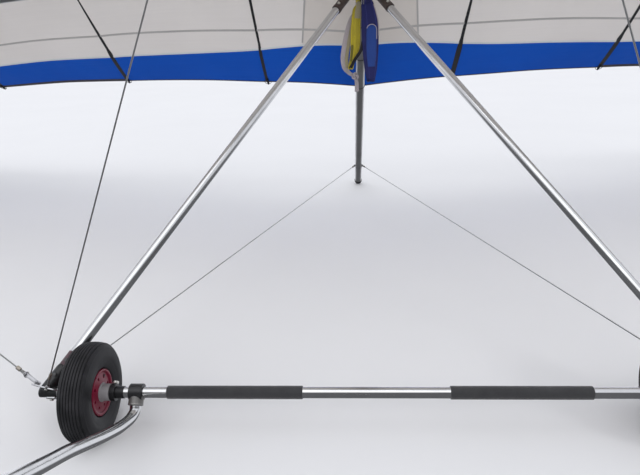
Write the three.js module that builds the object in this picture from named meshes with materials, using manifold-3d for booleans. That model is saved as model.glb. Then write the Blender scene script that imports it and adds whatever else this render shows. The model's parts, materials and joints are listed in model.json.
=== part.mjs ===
// Hang glider with a single-surface sail, a kingpost and a wheeled control frame.
// Millimetres. It is laid out as it flies: +X to the right as seen from ahead, +Y to the tail, +Z up,
// with the origin on the keel's axis above the control frame. At the end the whole glider is tipped
// back onto its wheels and its tail skid, and moved so that it stands centred on z = 0.

import * as THREE from 'three';
import { mergeVertices } from 'three/addons/utils/BufferGeometryUtils.js';
import Module from 'manifold-3d';

const wasm = await Module();
wasm.setup();

const { Vector3, Vector2 } = THREE;
const SEAT = 0.3;

// Driving dimensions
const noseY = -1510;
const keelEndY = 1760;
const keelR = 22;
const leR = 26;
const leSweep = 0.515;
const leRise = 0.03;
const leRootX = 70;
const leTipX = 5400;

const barHalf = 865;
const barY = -215;
const barZ = -1593;
const tubeR = 14.3;
const downTopX = 28;
const downTopY = -8;
const downTopZ = -50;
const footLength = 118;
const headLength = 180;
const gripInner = 187;
const gripOuter = 539;
const gripR = 16.8;

const wheelX = 741;
const wheelR = 130;
const wheelHalfWidth = 36;
const rimR = 60;
const rimHalfWidth = 30;
const hubR = 22;
const hubOuter = 28;
const hubInner = 53;
const runGap = 1;
const collarR = 22.6;
const collarWidth = 13;
const collarSleeveR = 15.8;
const collarSleeveLength = 35;

const kingpostY = 0;
const kingpostR = 14.3;
const kingpostTopZ = 1080;
const crossbarR = 25;
const crossbarRoot = new Vector3(27, -90, 56);
const crossbarTipX = 3550;
const junctionX = 3720;

const sailThick = 3;
const boomX = -620;
const boomR = 14;
const wireR = 2;
const swageR = 4;

// Materials
const material = (colour, roughness, metalness) =>
  new THREE.MeshStandardMaterial({ color: colour, roughness, metalness });
const aluminium = material(0xb9bcbe, 0.28, 1);
const steel = material(0x9a9c9e, 0.35, 1);
const blackPlastic = material(0x1b1b1c, 0.5, 0);
const blackFoam = material(0x19191b, 0.85, 0);
const tyreRubber = material(0x1d1d1e, 0.8, 0);
const redPlastic = material(0x8c1524, 0.4, 0);
const sailcloth = material(0xcfcdc6, 0.7, 0);
const yellowWeb = material(0xb7a32a, 0.8, 0);
const blueWeb = material(0x23407a, 0.8, 0);
const greyWeb = material(0x8f8c86, 0.8, 0);

const glider = new THREE.Group();

function addPiece(name, geometry, mat) {
  const mesh = new THREE.Mesh(geometry, mat);
  mesh.name = name;
  glider.add(mesh);
  return mesh;
}

// Solids: three.js geometry in and out of the boolean library
function toSolid(geometry) {
  const bare = geometry.clone();
  bare.deleteAttribute('normal');
  bare.deleteAttribute('uv');
  const merged = mergeVertices(bare, 1e-4);
  return new wasm.Manifold(new wasm.Mesh({
    numProp: 3,
    vertProperties: new Float32Array(merged.attributes.position.array),
    triVerts: new Uint32Array(merged.index.array),
  }));
}

function fromSolid(solid) {
  const mesh = solid.getMesh();
  const geometry = new THREE.BufferGeometry();
  geometry.setAttribute('position', new THREE.BufferAttribute(new Float32Array(mesh.vertProperties), 3));
  geometry.setIndex(new THREE.BufferAttribute(new Uint32Array(mesh.triVerts), 1));
  geometry.computeVertexNormals();
  return geometry;
}

function joined(first, ...rest) {
  return fromSolid(rest.reduce((sum, next) => sum.add(toSolid(next)), toSolid(first)));
}

// Shapes placed in the glider's own coordinates
function rodBetween(from, to, radius, sides = 16) {
  const along = new Vector3().subVectors(to, from);
  const geometry = new THREE.CylinderGeometry(radius, radius, along.length(), sides);
  const turn = new THREE.Quaternion().setFromUnitVectors(new Vector3(0, 1, 0), along.clone().normalize());
  geometry.applyQuaternion(turn);
  const middle = new Vector3().addVectors(from, to).multiplyScalar(0.5);
  return geometry.translate(middle.x, middle.y, middle.z);
}

function boxAt(x0, x1, y0, y1, z0, z1) {
  const geometry = new THREE.BoxGeometry(x1 - x0, y1 - y0, z1 - z0);
  return geometry.translate((x0 + x1) / 2, (y0 + y1) / 2, (z0 + z1) / 2);
}

function latheAlongX(profile, segments, centre) {
  const points = profile.map(([r, x]) => new Vector2(r, x));
  const geometry = new THREE.LatheGeometry(points, segments);
  geometry.rotateZ(-Math.PI / 2);
  return geometry.translate(centre.x, centre.y, centre.z);
}

// A solid through rings of equal count; each end is closed in its own Y-Z outline
function loft(rings) {
  const count = rings[0].length;
  const positions = rings.flat().flatMap((p) => [p.x, p.y, p.z]);
  const index = [];
  for (let i = 0; i + 1 < rings.length; i += 1) {
    for (let j = 0; j < count; j += 1) {
      const a = i * count + j;
      const b = i * count + ((j + 1) % count);
      index.push(a, b, b + count, a, b + count, a + count);
    }
  }
  const last = (rings.length - 1) * count;
  for (const [a, b, c] of capTriangles(rings[0])) index.push(c, b, a);
  for (const [a, b, c] of capTriangles(rings.at(-1))) index.push(last + a, last + b, last + c);
  const geometry = new THREE.BufferGeometry();
  geometry.setAttribute('position', new THREE.Float32BufferAttribute(positions, 3));
  geometry.setIndex(index);
  return outward(geometry);
}

// A Y-Z outline given a thickness across the centre line
function extrudeAcross(outline, thickness) {
  const geometry = new THREE.ExtrudeGeometry(outline, { depth: thickness, bevelEnabled: false });
  const basis = [new Vector3(0, 1, 0), new Vector3(0, 0, 1), new Vector3(1, 0, 0)];
  geometry.applyMatrix4(new THREE.Matrix4().makeBasis(...basis));
  return geometry.translate(-thickness / 2, 0, 0);
}

// Triangles of a flat end, turned the same way round as the ring itself
function capTriangles(ring) {
  const flat = ring.map((p) => new Vector2(p.y, p.z));
  const ringTurn = Math.sign(THREE.ShapeUtils.area(flat));
  return THREE.ShapeUtils.triangulateShape(flat, []).map(([a, b, c]) => {
    const turn = Math.sign(THREE.ShapeUtils.area([flat[a], flat[b], flat[c]]));
    return turn === ringTurn ? [a, b, c] : [c, b, a];
  });
}

function outward(geometry) {
  const p = geometry.attributes.position;
  const index = geometry.index.array;
  const [a, b, c] = [new Vector3(), new Vector3(), new Vector3()];
  let volume = 0;
  for (let i = 0; i < index.length; i += 3) {
    a.fromBufferAttribute(p, index[i]);
    b.fromBufferAttribute(p, index[i + 1]);
    c.fromBufferAttribute(p, index[i + 2]);
    volume += a.dot(b.cross(c));
  }
  if (volume < 0) {
    for (let i = 0; i < index.length; i += 3) {
      [index[i], index[i + 1]] = [index[i + 1], index[i]];
    }
  }
  geometry.computeVertexNormals();
  return geometry;
}

const sides = [['left', -1], ['right', 1]];
const mirrored = (point, sign) => new Vector3(point.x * sign, point.y, point.z);
const leAxis = (x) => new Vector3(x, noseY + leSweep * x, leRise * x);

// Keel, nose and leading edges
function buildKeel() {
  const front = new Vector3(0, noseY + 22, 0);
  addPiece('keel_tube', rodBetween(front, new Vector3(0, keelEndY, 0), keelR, 20), aluminium);
}

const skidR = 24;
const skidY = keelEndY + 14;

function buildTailSkid() {
  const profile = [];
  const steps = 8;
  for (let i = 0; i <= steps; i += 1) {
    const turn = (Math.PI / 2) * (i / steps);
    profile.push(new Vector2(skidR * Math.sin(turn), skidR * Math.cos(turn)));
  }
  profile.push(new Vector2(skidR, skidY * -1 + keelEndY + SEAT));
  profile.push(new Vector2(0, skidY * -1 + keelEndY + SEAT));
  const geometry = new THREE.LatheGeometry(profile.reverse(), 24);
  geometry.translate(0, skidY, 0);
  addPiece('keel_tail_skid', geometry, blackPlastic);
}

function buildNosePlate() {
  const plateHalf = 95;
  const front = noseY - 40;
  const back = noseY + 150;
  const wall = 4;
  const outline = new THREE.Shape([
    new Vector2(-34, front), new Vector2(34, front),
    new Vector2(plateHalf, front + 60), new Vector2(plateHalf + 45, back),
    new Vector2(-plateHalf - 45, back), new Vector2(-plateHalf, front + 60),
  ]);
  const plate = (z) => {
    const geometry = new THREE.ExtrudeGeometry(outline, { depth: wall, bevelEnabled: false });
    return geometry.translate(0, 0, z);
  };
  const lower = plate(-leR - SEAT - wall);
  const upper = plate(leR + SEAT + leRise * (plateHalf + 45));
  const frontWall = boxAt(-30, 30, front, front + wall, -leR - 2, leR + 6);
  const tang = boxAt(-8, 8, front + 20, front + 60, -leR - 18, -leR - 2);
  addPiece('nose_plate', joined(lower, upper, frontWall, tang), steel);
}

function buildLeadingEdge(side, sign) {
  const geometry = rodBetween(mirrored(leAxis(leRootX), sign), mirrored(leAxis(leTipX), sign), leR, 20);
  addPiece(`leading_edge_${side}`, geometry, aluminium);
}

// Crossbar, its centre bracket and its junction plates
const crossbarTip = new Vector3(
  crossbarTipX,
  crossbarRoot.y + ((leAxis(junctionX).y - crossbarRoot.y) * crossbarTipX) / junctionX,
  leAxis(crossbarTipX).z - 1,
);

function buildCrossbar(side, sign) {
  const geometry = rodBetween(mirrored(crossbarRoot, sign), mirrored(crossbarTip, sign), crossbarR, 20);
  addPiece(`crossbar_${side}`, geometry, aluminium);
}

function buildCrossbarBracket() {
  const rodTop = crossbarRoot.z + crossbarR + 3;
  const [front, back] = [crossbarRoot.y - 24, crossbarRoot.y + 24];
  const saddle = boxAt(-60, 60, front, back, keelR + SEAT, crossbarRoot.z - crossbarR - SEAT);
  const web = boxAt(-9, 9, front, back, keelR + 2, rodTop + 3);
  const strap = boxAt(-60, 60, front, back, rodTop, rodTop + 3);
  addPiece('crossbar_centre_bracket', joined(saddle, web, strap), steel);
}

function buildJunctionPlate(side, sign) {
  const along = new Vector3().subVectors(crossbarTip, crossbarRoot).normalize();
  const thick = 4;
  const plate = new THREE.BoxGeometry(300, 56, thick);
  plate.rotateY(-Math.asin(along.z));
  plate.rotateZ(Math.atan2(along.y, along.x));
  const centre = crossbarTip.clone().addScaledVector(along, 60);
  plate.translate(centre.x, centre.y, centre.z - crossbarR - 1.2 - thick / 2);
  const { x, y, z } = sideWireTop;
  const tang = boxAt(x - 12, x + 12, y - 3, y + 3, z - 12, z + 18);
  const solid = joined(plate, tang);
  addPiece(`crossbar_plate_${side}`, sign < 0 ? mirrorX(solid) : solid, steel);
}

function mirrorX(geometry) {
  const flipped = geometry.clone().scale(-1, 1, 1);
  const index = flipped.index.array;
  for (let i = 0; i < index.length; i += 3) {
    [index[i], index[i + 1]] = [index[i + 1], index[i]];
  }
  flipped.computeVertexNormals();
  return flipped;
}

// Kingpost
function buildKingpost() {
  const foot = 52;
  addPiece('kingpost_base', joined(
    boxAt(-24, 24, kingpostY - 26, kingpostY + 26, keelR + SEAT, keelR + 8),
    rodBetween(new Vector3(0, kingpostY, keelR + 4), new Vector3(0, kingpostY, foot), 19, 20),
  ), blackPlastic);
  addPiece('kingpost', rodBetween(
    new Vector3(0, kingpostY, foot + SEAT),
    new Vector3(0, kingpostY, kingpostTopZ),
    kingpostR,
  ), aluminium);
  addPiece('kingpost_cap', joined(
    rodBetween(
      new Vector3(0, kingpostY, kingpostTopZ + SEAT),
      new Vector3(0, kingpostY, kingpostTopZ + 26),
      18,
      20,
    ),
    boxAt(-30, 30, kingpostY - 2, kingpostY + 2, kingpostTopZ + 6, kingpostTopZ + 20),
    boxAt(-2, 2, kingpostY - 30, kingpostY + 30, kingpostTopZ + 6, kingpostTopZ + 20),
  ), steel);
}

// Control frame
const corner = new Vector3(barHalf, barY, barZ);
const downTop = new Vector3(downTopX, downTopY, downTopZ);
const downAlong = new Vector3().subVectors(downTop, corner).normalize();

function buildApexBracket() {
  const saddle = boxAt(-34, 34, -36, 36, -keelR - 12, -keelR - SEAT);
  const web = boxAt(-5, 5, -36, 36, -118, -keelR - 6);
  addPiece('apex_bracket', joined(saddle, web), steel);
}

function buildDowntube(side, sign) {
  const foot = corner.clone().addScaledVector(downAlong, footLength + SEAT);
  const head = downTop.clone().addScaledVector(downAlong, -headLength - SEAT);
  addPiece(`downtube_${side}`, rodBetween(mirrored(foot, sign), mirrored(head, sign), tubeR, 20), aluminium);
  const socketFoot = downTop.clone().addScaledVector(downAlong, -headLength);
  addPiece(
    `downtube_socket_${side}`,
    rodBetween(mirrored(socketFoot, sign), mirrored(downTop, sign), 18, 20),
    blackPlastic,
  );
}

const knuckleInner = wheelX + hubOuter + runGap;

// The corner's tang: a steel strip over the end of the bar, tilted to the side stay's pull
const tangTilt = 0.22;
const tangThick = 4;
const tangLength = 84;
const tangWidth = 60;
const tangCentre = new Vector3(barHalf - 3, barY, barZ + 10);
const tangUp = new Vector3(-Math.sin(tangTilt), 0, Math.cos(tangTilt));
const tangTop = (x, y) => new Vector3(x, y, tangCentre.z + (x - tangCentre.x) * Math.tan(tangTilt))
  .addScaledVector(tangUp, tangThick / 2);

function buildKnuckle(side, sign) {
  const socketTop = corner.clone().addScaledVector(downAlong, footLength);
  const start = corner.clone().addScaledVector(downAlong, -4);
  const onBar = (x) => new Vector3(x, barY, barZ);
  const [spacerR, barPartR, socketR] = [16.5, 14, 18.5];
  const spacer = rodBetween(onBar(knuckleInner), onBar(barHalf - 30), spacerR, 20);
  const barPart = rodBetween(onBar(barHalf - 36), onBar(barHalf + 14), barPartR, 20);
  const tubePart = rodBetween(start, socketTop, socketR, 20);
  const tang = new THREE.BoxGeometry(tangLength, tangWidth, tangThick);
  tang.rotateY(-tangTilt);
  tang.translate(tangCentre.x, tangCentre.y, tangCentre.z);
  const solid = joined(spacer, barPart, tubePart, tang);
  addPiece(`corner_knuckle_${side}`, sign < 0 ? mirrorX(solid) : solid, blackPlastic);
}

function buildBaseBar() {
  const end = knuckleInner - SEAT;
  const bar = rodBetween(new Vector3(-end, barY, barZ), new Vector3(end, barY, barZ), tubeR, 24);
  addPiece('base_bar', bar, aluminium);
}

function sleeve(inner, outer, x0, x1, segments = 32) {
  const a = Math.min(x0, x1);
  const b = Math.max(x0, x1);
  const profile = [[inner, a], [outer, a], [outer, b], [inner, b], [inner, a]];
  return latheAlongX(profile, segments, new Vector3(0, barY, barZ));
}

function buildGrip(side, sign) {
  addPiece(`grip_${side}`, sleeve(tubeR + SEAT, gripR, sign * gripInner, sign * gripOuter, 24), blackFoam);
}

// Wheels, free to turn on the base bar
const boreR = tubeR + 0.25;

// The crown's radius at a distance across the tread: level in the middle, then falling to its edge
const treadHalf = 26;
const levelHalf = 4;
const crownDrop = 4;
const crownShare = (x) => Math.max(0, (Math.abs(x) - levelHalf) / (treadHalf - levelHalf));
const crownR = (x) => wheelR - crownDrop * crownShare(x) ** 2;

function tyreProfile() {
  const half = wheelHalfWidth;
  const flank = [[60.4, 24], [66, 31.4], [76, 33.6], [88, 35.5], [98, half], [108, 35.4], [118, 32]];
  const grooves = [-19.5, -13, -6.5, 0, 6.5, 13, 19.5];
  const grooveHalf = 1.1;
  const grooveDepth = 2.6;
  const tread = grooves.flatMap((x) => [
    [crownR(x - grooveHalf), x - grooveHalf],
    [crownR(x) - grooveDepth, x],
    [crownR(x + grooveHalf), x + grooveHalf],
  ]);
  const shoulder = [crownR(treadHalf), treadHalf];
  const rightHalf = [shoulder, ...flank.toReversed()];
  const leftHalf = rightHalf.map(([r, x]) => [r, -x]).reverse();
  return [...leftHalf, ...tread, ...rightHalf, leftHalf[0]];
}

function buildWheel(side, sign) {
  const hub = new Vector3(sign * wheelX, barY, barZ);
  const dish = [[hubR, 18], [50, 15], [54, rimHalfWidth - 2], [rimR, rimHalfWidth]];
  const outerFace = [[boreR, hubOuter], [20, hubOuter], [hubR, hubOuter - 4], ...dish];
  const innerFace = [[boreR, hubInner], [20, hubInner], [hubR, hubInner - 2], ...dish];
  const [low, high] = sign > 0 ? [innerFace, outerFace] : [outerFace, innerFace];
  const rim = [...low.map(([r, x]) => [r, -x]), ...high.toReversed(), [boreR, -low[0][1]]];
  addPiece(`tyre_${side}`, latheAlongX(tyreProfile(), 36, hub), tyreRubber);
  addPiece(`wheel_rim_${side}`, latheAlongX(rim, 36, hub), redPlastic);
  const collarOuter = wheelX - hubInner - runGap;
  const bore = tubeR + SEAT;
  const sleeveStart = collarOuter - collarSleeveLength;
  const sleeveEnd = collarOuter - collarWidth / 2;
  const collar = sleeve(bore, collarR, sign * (collarOuter - collarWidth), sign * collarOuter);
  const innerSleeve = sleeve(bore, collarSleeveR, sign * sleeveStart, sign * sleeveEnd);
  addPiece(`wheel_collar_${side}`, joined(collar, innerSleeve), blackPlastic);
}

// Stays: [name, from, to] for the right half; single stays lie on the centre line
const noseTang = new Vector3(0, noseY - 2, -leR - 15);
const tailTang = new Vector3(0, 1560, 0);
const kingTop = kingpostTopZ + 12;
const upperSideStart = new Vector3(30.5, kingpostY, kingTop);
const upperSideEnd = leAxis(junctionX - 60).add(new Vector3(0, 0, leR + 2.8));
const sideWireTop = leAxis(junctionX - 10).add(new Vector3(0, 18, -leR - 18));

// Radii along a wire's end: [distance from the end, radius]; the sleeve is pressed over the wire
const swage = [[0, wireR], [12, wireR], [13, swageR], [42, swageR], [45, wireR]];
const linkR = 4.5;
const linkAndSwage = [
  [0, linkR], [46, linkR], [47, wireR], [52, wireR], [53, swageR], [78, swageR], [81, wireR],
];
const plain = [[0, wireR]];

function stay(from, to, trimFrom, trimTo, startEnd = plain, stopEnd = plain) {
  const along = new Vector3().subVectors(to, from);
  const length = along.length() - trimFrom - trimTo;
  along.normalize();
  const profile = [
    [0, 0], ...startEnd, ...stopEnd.toReversed().map(([d, r]) => [length - d, r]), [length, 0],
  ].map(([d, r]) => new Vector2(r, d));
  const geometry = new THREE.LatheGeometry(profile, 8);
  geometry.applyQuaternion(new THREE.Quaternion().setFromUnitVectors(new Vector3(0, 1, 0), along));
  const start = from.clone().addScaledVector(along, trimFrom);
  return geometry.translate(start.x, start.y, start.z);
}

// The foot of a stay that stands on the tang and points at its other end
function footOnTang(x, y, target, radius) {
  const spot = tangTop(x, y);
  const across = new Vector3().subVectors(target, spot).normalize().cross(tangUp).length();
  return spot.addScaledVector(tangUp, SEAT + radius * across);
}

function buildStays() {
  const tail = new Vector3(keelR + 2.6, tailTang.y, 0);
  const frontTop = new Vector3(10.4, noseTang.y, noseTang.z);
  const foot = footOnTang(barHalf + 28, barY, sideWireTop, linkR);
  const frontFoot = footOnTang(barHalf - 15, barY - 25, frontTop, wireR);
  const rearFoot = footOnTang(barHalf - 3, barY + 26, tail, wireR);
  for (const [side, sign] of sides) {
    const at = (p) => mirrored(p, sign);
    const lowerSide = stay(at(foot), at(sideWireTop), 0, 15.5, linkAndSwage, swage);
    addPiece(`lower_front_stay_${side}`, stay(at(frontFoot), at(frontTop), 0, 0, swage), steel);
    addPiece(`lower_rear_stay_${side}`, stay(at(rearFoot), at(tail), 0, 0, swage), steel);
    addPiece(`lower_side_stay_${side}`, lowerSide, steel);
    addPiece(`upper_side_stay_${side}`, stay(at(upperSideStart), at(upperSideEnd), 2.5, 0, swage), steel);
  }
  const kingFront = new Vector3(0, kingpostY - 30.5, kingTop);
  const kingRear = new Vector3(0, kingpostY + 30.5, kingTop);
  const noseTop = new Vector3(0, noseY + 20, leR + 12.2);
  const tailTop = new Vector3(0, tailTang.y, keelR + 2.5);
  addPiece('upper_front_stay', stay(kingFront, noseTop, 1.6, 1, swage), steel);
  addPiece('upper_rear_stay', stay(kingRear, tailTop, 2.5, 0, swage), steel);
}

// Sail: stations across the right half, named by their columns
// wrap is the share of the leading edge pocket that goes round the tube; lift and setback clear the nose
const stationColumns = ['leX', 'teX', 'teY', 'teZ', 'camber', 'wrap', 'lift', 'setback'];
const stationRows = [
  [0.2, 0.2, 835, 92, 0.055, 0.05, 22, 156],
  [160, 150, 842, 112, 0.060, 0.08, 16, 76],
  [300, 290, 855, 135, 0.066, 0.10, 0, 0],
  [302, 292, 855.3, 135.4, 0.066, 1.00, 0, 0],
  [500, 500, 880, 170, 0.070, 1.00, 0, 0],
  [1350, 1350, 1010, 300, 0.078, 1.00, 0, 0],
  [2250, 2250, 1200, 420, 0.080, 1.00, 0, 0],
  [3150, 3165, 1412, 502, 0.080, 1.00, 0, 0],
  [4020, 4055, 1655, 520, 0.077, 1.00, 0, 0],
  [4830, 4885, 1880, 480, 0.066, 1.00, 0, 0],
  [5150, 5230, 1945, 450, 0.055, 1.00, 0, 0],
  [5360, 5480, 1960, 420, 0.040, 1.00, 0, 0],
];
const stations = stationRows.map(
  (row) => Object.fromEntries(row.map((value, i) => [stationColumns[i], value])),
);

function stationAt(leX) {
  let i = 0;
  while (i < stations.length - 2 && stations[i + 1].leX < leX) i += 1;
  const t = (leX - stations[i].leX) / (stations[i + 1].leX - stations[i].leX);
  const before = stations[Math.max(i - 1, 0)];
  const [a, b] = [stations[i], stations[i + 1]];
  const after = stations[Math.min(i + 2, stations.length - 1)];
  const mix = {};
  for (const key of stationColumns) {
    const spanA = (b[key] - before[key]) / (b.leX - before.leX);
    const spanB = (after[key] - a[key]) / (after.leX - a.leX);
    const width = b.leX - a.leX;
    const smooth = ['teX', 'teY', 'teZ', 'camber'].includes(key);
    const [t2, t3] = [t * t, t * t * t];
    const curve = (2 * t3 - 3 * t2 + 1) * a[key] + (t3 - 2 * t2 + t) * width * spanA
      + (-2 * t3 + 3 * t2) * b[key] + (t3 - t2) * width * spanB;
    mix[key] = smooth ? curve : a[key] + (b[key] - a[key]) * t;
  }
  return mix;
}

const stretch = Math.sqrt(1 + leSweep * leSweep);
const wrapInner = leR + 1.4;
const arcTop = (100 * Math.PI) / 180;
const arcSweep = (205 * Math.PI) / 180;
const arcSteps = 9;
const chordSteps = 11;
const fractions = Array.from({ length: chordSteps }, (_, i) => 0.03 + 0.97 * ((i / (chordSteps - 1)) ** 1.25));
const lipLength = 12;
const pocketBack = 0.07;
const wallFrom = 312;
const wallTo = 5352;

// A point of the sail's upper or lower skin at fraction s of the chord
function skinPoint(st, s, drop) {
  const le = leAxis(st.leX).add(new Vector3(0, st.setback, 0));
  const te = new Vector3(st.teX, st.teY, st.teZ);
  const chord = new Vector2(te.y - le.y, te.z - le.z);
  const length = chord.length();
  const normal = new Vector2(-chord.y, chord.x).divideScalar(length);
  const bulge = (wrapInner + sailThick + st.lift) * (1 - s) ** 2 + st.camber * 6.75 * s * (1 - s) ** 2 * length;
  const h = bulge - drop;
  return new Vector3(
    le.x + (te.x - le.x) * s,
    le.y + chord.x * s + normal.x * h,
    le.z + chord.y * s + normal.y * h,
  );
}

function sailRing(st) {
  const le = leAxis(st.leX).add(new Vector3(0, st.setback, 0));
  const arcPoint = (radius, turn) => new Vector3(
    le.x, le.y + stretch * radius * Math.cos(turn), le.z + st.lift + radius * Math.sin(turn),
  );
  const outer = wrapInner + sailThick;
  const arcEnd = arcTop + arcSweep * st.wrap;
  const ring = [];
  const lip = new Vector3(0, -Math.sin(arcEnd), Math.cos(arcEnd)).multiplyScalar(lipLength * st.wrap);
  ring.push(arcPoint(outer, arcEnd).add(lip));
  for (let i = arcSteps; i >= 0; i -= 1) ring.push(arcPoint(outer, arcTop + (arcEnd - arcTop) * (i / arcSteps)));
  for (const s of fractions) ring.push(skinPoint(st, s, 0));
  for (const s of fractions.toReversed()) ring.push(skinPoint(st, s, sailThick));
  for (let i = 0; i <= arcSteps; i += 1) ring.push(arcPoint(wrapInner, arcTop + (arcEnd - arcTop) * (i / arcSteps)));
  ring.push(arcPoint(wrapInner, arcEnd).add(lip));
  return ring;
}

// The pocket's rear wall, from the arc's end up into the skin
function pocketWall(st) {
  const le = leAxis(st.leX);
  const arcEnd = arcTop + arcSweep;
  const length = new Vector3(st.teX, st.teY, st.teZ).sub(le).length();
  const inLip = (radius) => new Vector3(
    le.x,
    le.y + stretch * radius * Math.cos(arcEnd) - (lipLength / 2) * Math.sin(arcEnd),
    le.z + radius * Math.sin(arcEnd) + (lipLength / 2) * Math.cos(arcEnd),
  );
  const inSkin = (back) => skinPoint(st, pocketBack + back / length, sailThick / 2);
  return [inLip(wrapInner + 0.6), inLip(wrapInner + sailThick - 0.3), inSkin(4.5), inSkin(0)];
}

const battenX = [500, 1350, 2250, 3150, 4020, 4830];
const spanStations = [
  0.2, 160, 300, 302, 770, 1060, 1650, 1950, 2550, 2850, 3450, 3740, 4290, 4560, 5000, 5150, 5260, 5360,
  ...battenX,
].sort((a, b) => a - b);

function buildSail(side, sign) {
  const panel = loft(spanStations.map((x) => sailRing(stationAt(x))));
  const post = rodBetween(new Vector3(0, kingpostY, 20), new Vector3(0, kingpostY, 400), kingpostR + 12, 20);
  const le = leAxis(junctionX - 110);
  const window = boxAt(le.x - 190, le.x + 230, le.y - 8, le.y + 150, le.z - 70, le.z + 6);
  const slot = rodBetween(upperSideStart, upperSideEnd, 5, 8);
  const spar = rodBetween(leAxis(leRootX), leAxis(leTipX), leR + 0.6, 20);
  const wallStations = [wallFrom, ...spanStations.filter((x) => x > wallFrom && x < wallTo), wallTo];
  const wall = loftTube(wallStations.map((x) => pocketWall(stationAt(x))));
  const along = new Vector3().subVectors(crossbarTip, crossbarRoot).normalize();
  const door = rodBetween(
    crossbarTip.clone().addScaledVector(along, -420),
    crossbarTip.clone().addScaledVector(along, 12),
    crossbarR + 8,
    20,
  );
  const cuts = [post, window, door, slot, spar].map(toSolid);
  const cloth = toSolid(panel).add(toSolid(wall));
  const solid = fromSolid(cuts.reduce((rest, cut) => rest.subtract(cut), cloth));
  addPiece(`sail_${side}`, sign < 0 ? mirrorX(solid) : solid, sailcloth);
}

// Battens in their pockets under the sail, from behind the leading edge to past the trailing edge
const battenR = 6;

function buildBatten(side, sign, x, number) {
  const st = stationAt(x);
  const under = sailThick + battenR + 0.5;
  const points = fractions.filter((s) => s > 0.2).map((s) => skinPoint(st, s, under));
  const end = points.at(-1).clone().sub(points.at(-2)).normalize();
  points.push(points.at(-1).clone().addScaledVector(end, 18));
  const rings = points.map((p) => Array.from({ length: 8 }, (_, k) => {
    const turn = (Math.PI * 2 * (k + 0.5)) / 8;
    return new Vector3(p.x + battenR * Math.cos(turn), p.y, p.z + battenR * Math.sin(turn));
  }));
  const solid = loftTube(rings);
  addPiece(`batten_${side}_${number}`, sign < 0 ? mirrorX(solid) : solid, blackPlastic);
}

// The same loft for rings that stand across Y, whose ends are closed by a fan
function loftTube(rings) {
  const count = rings[0].length;
  const positions = rings.flat().flatMap((p) => [p.x, p.y, p.z]);
  const index = [];
  for (let i = 0; i + 1 < rings.length; i += 1) {
    for (let j = 0; j < count; j += 1) {
      const a = i * count + j;
      const b = i * count + ((j + 1) % count);
      index.push(a, b, b + count, a, b + count, a + count);
    }
  }
  const last = (rings.length - 1) * count;
  for (let j = 1; j + 1 < count; j += 1) {
    index.push(0, j + 1, j);
    index.push(last, last + j, last + j + 1);
  }
  const geometry = new THREE.BufferGeometry();
  geometry.setAttribute('position', new THREE.Float32BufferAttribute(positions, 3));
  geometry.setIndex(index);
  return outward(geometry);
}

// Keel pocket: the cloth fin that ties the sail's root down to the keel
function rootUnderside(y) {
  const st = stationAt(0.2);
  const points = fractions.map((s) => skinPoint(st, s, sailThick));
  const i = Math.min(points.findIndex((p) => p.y >= y), points.length - 1);
  const [a, b] = [points[i - 1], points[i]];
  return a.z + ((b.z - a.z) * (y - a.y)) / (b.y - a.y);
}

function buildKeelPocket() {
  const [front, back] = [160, 800];
  const st = stationAt(0.2);
  const bends = fractions.map((s) => skinPoint(st, s, sailThick).y).filter((y) => y > front && y < back);
  const outline = [new Vector2(front, keelR + SEAT), new Vector2(back, keelR + SEAT)];
  for (const y of [front, ...bends, back].reverse()) outline.push(new Vector2(y, rootUnderside(y) - SEAT));
  addPiece('keel_pocket', extrudeAcross(new THREE.Shape(outline), 8), sailcloth);
}

// The stand: nose up by the angle at which the wheels and the tail skid touch one level
const spanY = skidY - barY;
const spanZ = 0 - barZ;
const standAngle = Math.atan2(spanZ, spanY) + Math.asin((wheelR - skidR) / Math.hypot(spanY, spanZ));

// Hang straps: webbing looped over the keel, then turned to face ahead, that hangs plumb while the
// glider stands. The path gives the tail's sideways place at distances below the keel.
const plumb = new Vector3(0, Math.sin(standAngle), -Math.cos(standAngle));
const ahead = new Vector3(0, Math.cos(standAngle), Math.sin(standAngle));
const webThick = 6.4;
const backupPath = [[0, 6], [20, 14], [40, 21], [120, 32], [200, 35], [335, 36]];
const mainPath = [[0, -6], [20, -14], [40, -20], [150, -23], [205, -27], [258, -34]];
const shortPath = [
  [0, -6], [20, -28], [40, -46], [75, -60], [110, -70], [160, -81], [200, -86], [235, -78], [256, -58], [268, -38],
  [285, -27], [332, -23],
];

function buildHangStrap(name, y, ringWidth, tailWidth, path, mat) {
  const inner = keelR + 0.8;
  const outer = inner + 3.2;
  const ringShape = new THREE.Shape().absarc(0, 0, outer, 0, Math.PI * 2);
  ringShape.holes.push(new THREE.Path().absarc(0, 0, inner, 0, Math.PI * 2));
  const ring = new THREE.ExtrudeGeometry(ringShape, { depth: ringWidth, bevelEnabled: false, curveSegments: 24 });
  ring.rotateX(Math.PI / 2);
  ring.translate(0, y + ringWidth / 2, 0);
  const twistEnd = path[2][0];
  const rings = path.map(([t, x], i) => {
    const turn = (Math.PI / 2) * Math.min(1, t / twistEnd);
    const level = i === 0 ? new Vector3(0, 1, 0) : ahead;
    const width = ringWidth + (tailWidth - ringWidth) * Math.min(1, t / twistEnd);
    const wide = level.clone().multiplyScalar(Math.cos(turn)).add(new Vector3(Math.sin(turn), 0, 0));
    const thin = level.clone().multiplyScalar(-Math.sin(turn)).add(new Vector3(Math.cos(turn), 0, 0));
    const centre = new Vector3(x, y, -inner - 0.6).addScaledVector(plumb, t);
    return [[1, 1], [-1, 1], [-1, -1], [1, -1]].map(([a, b]) => centre.clone()
      .addScaledVector(wide, (a * width) / 2).addScaledVector(thin, (b * webThick) / 2));
  });
  addPiece(name, joined(ring, loftTube(rings)), mat);
}

// Camera boom: a bent tube clamped to the base bar beside the left wheel, with a plate at its end
const boomEnd = new Vector3(-61, -1722, -1800);
const clampBottom = barZ - 34;

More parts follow.
